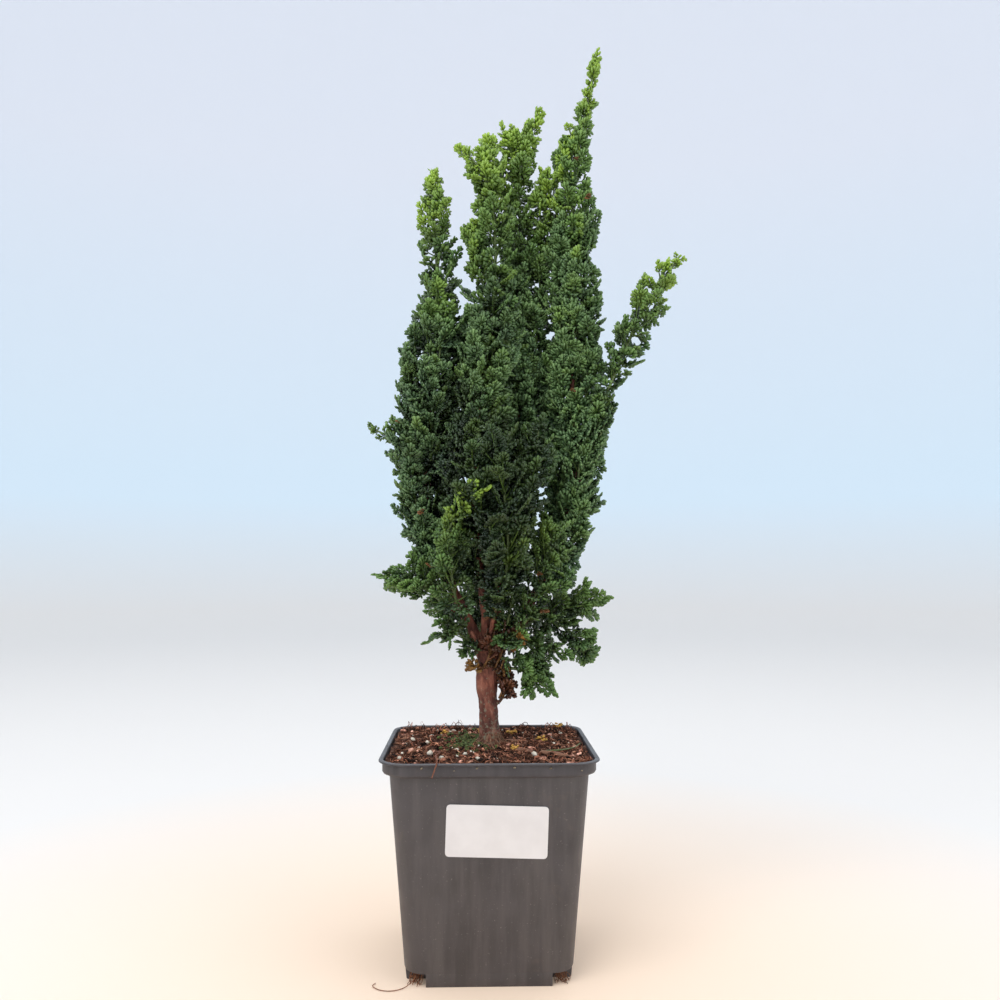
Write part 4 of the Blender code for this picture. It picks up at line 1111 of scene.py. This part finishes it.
def freshness(leader, share, rng):
    # 1 at a leader's yellow-green apex, little lower down
    down = (1 - share) * leader.long
    fresh = max(0.0, 1 - down / foliageFacts["apexFresh"])**1.3
    upper = max(0.0, min(1.0, (leader.at(share)[0].z - 300) / 200))
    spark = 0.3 * upper + 0.15 if rng.random() < 0.15 else 0.0
    return leader.facts["fresh"] * min(1.0, fresh + 0.22 * upper + spark) + rng.uniform(0, 0.1)


def growStem(growth, leader, places, facing, sector, step, each, rng):
    # twigs all along one stem: places are (point, direction, share of the leader)
    length = sum((b[0] - a[0]).length for a, b in zip(places, places[1:]))
    count = max(3, round(length / step))
    turn = rng.uniform(0, 2 * math.pi)
    fanLong = sum(foliageFacts["fanLength"]) / 2
    for k in range(count):
        spot = (k + rng.uniform(0.1, 0.9)) / count * (len(places) - 1)
        i = min(len(places) - 2, int(spot))
        here = places[i][0].lerp(places[i + 1][0], spot - i)
        along = (places[i + 1][0] - places[i][0]).normalized()
        share = places[i][2] + (places[i + 1][2] - places[i][2]) * (spot - i)
        axisPoint, axisAlong, radius = leader.at(share)
        inside = (here - axisPoint) - axisAlong * (here - axisPoint).dot(axisAlong)
        for _ in range(each):
            if facing is None:
                turn += 2.4 + rng.uniform(-0.35, 0.35)
            else:
                turn = facing + rng.uniform(-sector, sector)
            outward = sideVector(along, turn)
            steep = rng.random() < 0.4
            rise = math.radians(rng.uniform(48, 68) if steep else rng.uniform(-8, 42))
            # how far it is to the edge of the leader's foliage this way, in clumps with gaps between them
            clump = noise.noise((axisPoint + outward * radius) / foliageFacts["clump"])
            if clump < foliageFacts["gap"] and radius > 8:
                continue
            toward = inside.dot(outward)
            wide = radius * (rng.uniform(0.82, 1.02) + foliageFacts["swell"] * clump)
            edge = wide * wide - inside.length_squared + toward * toward
            reach = (math.sqrt(max(edge, 0.0)) - toward) / math.cos(rise) - fanLong * 0.85
            ahead = (outward * math.cos(rise) + along * math.sin(rise)).normalized()
            flat = along.cross(ahead).normalized()
            up = Matrix.Rotation(rng.gauss(0, 0.45 if steep else 0.9), 3, ahead) @ flat.cross(ahead)
            fresh = freshness(leader, share, rng)
            # painted shade: the tone follows the clump noise, lower in the gaps between clumps and higher
            # where they bulge out
            tone = leader.facts["tone"] + 0.35 * clump
            if reach > 1.5:
                lift = along * rng.uniform(-0.5, 0.3)
                growth.addTwig(here, ahead, up, min(reach, 19), rng, fresh, lift, tone)
            else:
                size = max(3.6, min(fanLong, reach + fanLong))
                growth.addFan(here, ahead, up, size * rng.uniform(0.85, 1.1), fresh, tone)


def growApex(growth, leader, rng):
    top, along, _ = leader.at(1.0)
    for k in range(3):
        ahead = (along + sideVector(along, 2.1 * k) * 0.35).normalized()
        growth.addFan(top - along * 4.5, ahead, sideVector(along, 2.1 * k + 1.3), 5.0,
                      leader.facts["fresh"], 0.0)


def thinOut(growths, stems, rng):
    # fans deep inside the foliage are fewer, coarser and darker, with painted shade that grows towards the
    # axes: place is 0 at an axis and 1 at the edge
    cloud = []
    for stem in stems:
        for k in range(round(stem.long / 5) + 1):
            here, _, radius = stem.at(k * 5 / stem.long)
            cloud.append((*here, max(radius, 1.0)))
    cloud = np.array(cloud)
    low, high = foliageFacts["inner"]
    for growth in growths:
        kept = []
        for item in growth.fans:
            middle = np.array(item[1]) + np.array(item[0][3:6]) * item[2] * 0.5
            place = (np.linalg.norm(cloud[:, :3] - middle, axis=1) / cloud[:, 3]).min()
            if place < low and rng.random() < foliageFacts["thin"]:
                continue
            # painted shade: the nearer a fan is to an axis, the lower its tone and the darker its colour
            shade = max(0.0, min(1.0, (place - 0.3) / 0.6))
            item[4] += foliageFacts["shade"][0] + foliageFacts["shade"][1] * shade
            # spots with a lower tone paint shade into the hollows of the foliage
            for spot, reach, tone, fresh in spots:
                near = math.exp(-sum(((a - b) / reach)**2 for a, b in zip(middle, spot)))
                item[4] += tone * near
                item[3] += fresh * near * rng.uniform(0.3, 1.0)
            kept.append([*item, place > high])
        growth.fans = kept


def spread(leader, start, end, steps=8):
    # places along a leader as (point, direction, share of the leader)
    shares = [start + (end - start) * k / steps for k in range(steps + 1)]
    return [(*leader.at(share)[:2], share) for share in shares]


def growAll(rng):
    facts = foliageFacts
    growths, stems = [], []
    for name, plan in leaders.items():
        leader = Leader(plan)
        stems.append(leader)
        for tier, (start, end, count, turn) in enumerate(leader.facts["tiers"]):
            axis = spread(leader, start, end)
            for i in range(count):
                growth = Growth(f"spray_{name}_{tier + 1}{'abcd'[i]}")
                angle = math.radians(turn + 360 * i / count)
                places = []
                for k, (here, along, share) in enumerate(axis):
                    away = leader.offset(share, k / 8)
                    places.append((here + sideVector(along, angle) * away, along, share))
                growth.addStem(places, 0.9, 0.5)
                growStem(growth, leader, places, angle, 1.8, facts["sideStep"], facts["perStep"], rng)
                # sprays straight from the wood fill the space beside the branchlet
                growStem(growth, leader, axis, angle + math.pi / count, 0.9, facts["fillStep"], 2, rng)
                growths.append(growth)
        growth = Growth(name if name == "dead_tuft" else f"spray_{name}_tip")
        bare = leader.facts.get("bare", leader.facts["brown"])
        places = spread(leader, bare, 1, max(4, round((1 - bare) * leader.long / 9)))
        growth.addStem(places, leader.facts["bark"][1], 0.5)
        growStem(growth, leader, places, None, 0, facts["tipStep"], facts["perStep"], rng)
        growApex(growth, leader, rng)
        growths.append(growth)
    for growth in growths:
        for route, fresh, tone in arms.get(growth.name.replace("spray_", ""), []):
            arm = Leader({"route": route, "fresh": fresh, "tone": tone})
            stems.append(arm)
            places = spread(arm, 0, 1)
            growth.addStem(places, 0.8, 0.45)
            growStem(growth, arm, places, None, 0, facts["tipStep"], facts["perStep"], rng)
            growApex(growth, arm, rng)
    thinOut(growths, stems, rng)
    return growths


def buildGrowth(growth, fans, materials, rng):
    gather = Gather()
    groups = {}
    for item in growth.fans:
        groups.setdefault((item[5], rng.randrange(foliageFacts["variants"])), []).append(item)
    for (fine, variant), items in sorted(groups.items()):
        points, faces, along, under = fans[fine][variant]
        turns = np.array([item[0] for item in items]).reshape(-1, 3, 3)     # rows: across, ahead, up
        roots = np.array([item[1] for item in items])
        sizes = np.array([item[2] for item in items])
        fresh = np.clip(np.array([item[3] for item in items]), 0, 1)
        tone = np.clip(np.array([item[4] for item in items]), 0, 1)
        placed = np.einsum("nj,kji->kni", points, turns) * sizes[:, None, None] + roots[:, None, :]
        count, size = len(items), len(points)
        triangles = faces[None] + (np.arange(count) * size)[:, None, None]
        colours = np.empty((count, len(faces), 3, 4))
        colours[..., 0] = fresh[:, None, None]
        colours[..., 1] = tone[:, None, None]
        colours[..., 2] = along[None]
        colours[..., 3] = under[None, :, None]
        gather.add(placed.reshape(-1, 3), triangles.reshape(-1, 3), colours.reshape(-1, 3, 4))
    for spine in growth.twigs:
        points, triangles = tubeArrays(spine, np.linspace(0.5, 0.34, len(spine)), 3)
        gather.add(points, triangles, foliageFacts["twigColour"])
    for spine, radii in growth.stems:
        points, triangles = tubeArrays(spine, radii, 6)
        gather.add(points, triangles, foliageFacts["stemColour"], 1)
    return gather.piece("foliage_" + growth.name.replace("spray_", ""), materials)


# deep, middle and tip colours of each kind of leaf, the deep one at the lowest tone where the painted shade
# is strongest, and its colour at the yellow-green or dry ends
leafColours = {
    "leafDeep": ((0.006, 0.017, 0.007), (0.058, 0.122, 0.043), (0.235, 0.370, 0.150), (0.25, 0.40, 0.05)),
    "leafFresh": ((0.008, 0.026, 0.009), (0.055, 0.130, 0.036), (0.195, 0.345, 0.095), (0.33, 0.50, 0.06)),
    "leafDead": ((0.035, 0.009, 0.006), (0.135, 0.034, 0.018), (0.22, 0.070, 0.030), (0.55, 0.27, 0.05)),
}


def makeLeafMaterial(name, deep, mid, tip, apex):
    # the corner colour holds yellow-green, tone (random, with painted shade in it), place along the shoot
    # and underside
    paint = Paint(name, 0.45)
    leaf = paint.add("ShaderNodeAttribute", attribute_name="leaf")
    split = paint.add("ShaderNodeSeparateColor")
    paint.links.new(leaf.outputs["Color"], split.inputs["Color"])
    fresh, tone, along = (split.outputs[key] for key in ("Red", "Green", "Blue"))
    # the tone, random tone and painted shade together, mixes the deep colour into the middle one
    base = paint.mix(tone, deep, mid)
    tipped = paint.mix(paint.ramp(along, (0.4, 0), (1.0, 0.8)), base, tip)
    colour = paint.mix(fresh, paint.mix(tone, base, tipped), apex)
    # pale wax lines on the underside
    lines = paint.ramp(paint.noise(1500, 2), (0.55, 0), (0.66, 0.55))
    waxed = paint.mix(lines, colour, (0.26, 0.33, 0.29))
    colour = paint.mix(leaf.outputs["Alpha"], colour, waxed)
    patch = paint.ramp(paint.noise(70, 3), (0.3, (0.72, 0.76, 0.80)), (0.7, (1.22, 1.18, 1.05)))
    paint.give("Base Color", paint.mix(1.0, colour, patch, "MULTIPLY"))
    paint.bump(paint.noise(1300, 3), 0.5, 0.0004)
    return paint.material


def makeStemMaterial():
    paint = Paint("greenStem", 0.6)
    paint.give("Base Color", paint.ramp(paint.noise(200, 4, 0.6, (1, 1, 0.3)), (0.3, (0.07, 0.10, 0.03)),
                                        (0.7, (0.16, 0.21, 0.07))))
    paint.bump(paint.noise(900, 3), 0.4, 0.0004)
    return paint.material


def addDeadSprigs(tuft, growths, rng):
    # each grows from the end of the fan that is nearest to its place
    shoots = [item for growth in growths for item in growth.fans]
    ends = np.array([item[1] for item in shoots])
    ends += 0.75 * np.array([[v * item[2] for v in item[0][3:6]] for item in shoots])
    for place in deadSprigs:
        end = Vector(ends[np.argmin(np.linalg.norm(ends - place, axis=1))])
        for _ in range(3):
            ahead = sideVector(Vector((0, 0, 1)), rng.uniform(-1, 1))
            ahead += Vector((0, 0, rng.uniform(-0.6, 0.6)))
            tuft.addFan(end, ahead.normalized(), Vector((0.3, -0.5, 1)), rng.uniform(2.4, 3.8), 0.2, 0.7)
            tuft.fans[-1].append(True)


def makeFoliage():
    rng = random.Random(foliageFacts["seed"])
    fans = {fine: fanShapes(rng, fine) for fine in (True, False)}
    stem = makeStemMaterial()
    deep, fresh, dead = (makeLeafMaterial(name, *colours) for name, colours in leafColours.items())
    growths = growAll(rng)
    tuft = next(growth for growth in growths if growth.name == "dead_tuft")
    addDeadSprigs(tuft, growths, rng)
    total = 0
    for growth in growths:
        leaf, wood, slot = deep, stem, "foliage_deep"
        if growth is tuft:
            leaf, wood, slot = dead, dead, "foliage_dead"
        elif growth.name.endswith("_tip"):
            leaf, slot = fresh, "foliage_fresh"
        piece = buildGrowth(growth, fans, [leaf, wood], rng)
        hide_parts(growth.name)
        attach(piece, "root")
        total += len(piece.data.polygons)
    print("foliage is done,", total, "triangles")


# floor and light

stageFacts = {
    "sides": 96, "flat": 2.4, "bend": 1.4, "bendSteps": 10, "wallHigh": 3.2,
    # distance from the pot and colour, on the floor; the warm colour near the pot is painted warm bounce
    # light
    "warm": (0.06, (0.93, 0.73, 0.56)), "floor": (0.45, (0.79, 0.765, 0.735)),
    # share of the coloured height and colour, on the wall; between the fade's two shares the floor ends
    "cyan": (0.2, (0.74, 0.86, 0.94)), "wall": (0.7, (0.84, 0.86, 0.915)),
    "coloured": 3.0, "fade": (0.02, 0.16),
    "glow": 0.11, "world": 0.85, "worldColour": (0.93, 0.96, 1.0, 1),
    # name, place, aim, size and power
    "lights": [("keyLight", (-0.7, -1.0, 1.5), (0, 0, 0.25), 1.1, 14.5),
               ("fillLight", (1.2, -0.9, 0.9), (0, 0, 0.25), 1.3, 4.4),
               ("topLight", (0.1, 0.1, 1.8), (0, 0, 0.2), 1.0, 4.4)],
}


def makeBackdropMaterial():
    facts = stageFacts
    paint = Paint("paleBackdrop", 0.9)
    # painted warm bounce light: the floor is warmer near the pot and fades to its own colour further out
    near = paint.add("ShaderNodeVectorMath", operation="LENGTH")
    paint.links.new(paint.place(), near.inputs[0])
    warm = paint.ramp(near.outputs["Value"], facts["warm"], facts["floor"])
    rise = paint.span(paint.height(), 0.0, facts["coloured"])
    start, end = facts["fade"]
    up = paint.ramp(rise, (start, 0), (end, 1))
    tone = paint.mix(up, warm, paint.ramp(rise, facts["cyan"], facts["wall"]))
    paint.give("Base Color", tone)
    paint.give("Emission Color", tone)
    paint.give("Emission Strength", facts["glow"])
    return paint.material


def makeStage():
    # a round floor whose rim curves up into a wall, so every view has the same plain ground
    facts = stageFacts
    clearPick()
    bpy.ops.mesh.primitive_circle_add(vertices=facts["sides"], radius=facts["flat"], fill_type="NGON")
    floor = bpy.context.object
    floor.name = "floor"
    bpy.ops.object.mode_set(mode="EDIT")
    bpy.ops.mesh.select_all(action="SELECT")
    bpy.ops.mesh.inset(thickness=0.4)
    bpy.ops.mesh.select_mode(type="EDGE")
    wide, high = facts["flat"], 0.0
    pick(floor, lambda e: e.is_boundary, "EDGE")
    for k in range(1, facts["bendSteps"] + 1):
        turn = math.radians(90 * k / facts["bendSteps"])
        newWide = facts["flat"] + facts["bend"] * math.sin(turn)
        newHigh = facts["bend"] * (1 - math.cos(turn))
        bpy.ops.mesh.extrude_region_move(TRANSFORM_OT_translate={"value": (0, 0, newHigh - high)})
        bpy.ops.transform.resize(value=(newWide / wide, newWide / wide, 1), center_override=(0, 0, 0))
        wide, high = newWide, newHigh
    bpy.ops.mesh.extrude_region_move(TRANSFORM_OT_translate={"value": (0, 0, facts["wallHigh"])})
    bpy.ops.mesh.select_all(action="SELECT")
    bpy.ops.mesh.normals_make_consistent(inside=True)
    bpy.ops.object.mode_set(mode="OBJECT")
    smoothBy(floor, 60)
    floor.data.materials.append(makeBackdropMaterial())
    world = bpy.data.worlds.new("studio")
    bpy.context.scene.world = world
    world.use_nodes = True
    back = world.node_tree.nodes["Background"]
    back.inputs["Color"].default_value = facts["worldColour"]
    back.inputs["Strength"].default_value = facts["world"]
    for name, place, aim, size, power in facts["lights"]:
        clearPick()
        bpy.ops.object.light_add(type="AREA", location=place)
        light = bpy.context.object
        light.name = name
        light.data.size = size
        light.data.energy = power
        light.rotation_euler = (Vector(aim) - Vector(place)).to_track_quat("-Z", "Y").to_euler()
    bpy.context.scene.view_settings.view_transform = "Standard"
    print("stage is set")


makeCamera()
makePot()
makeLabel()
makeSoil()
makeTrunk()
makeFoliage()
makeStage()
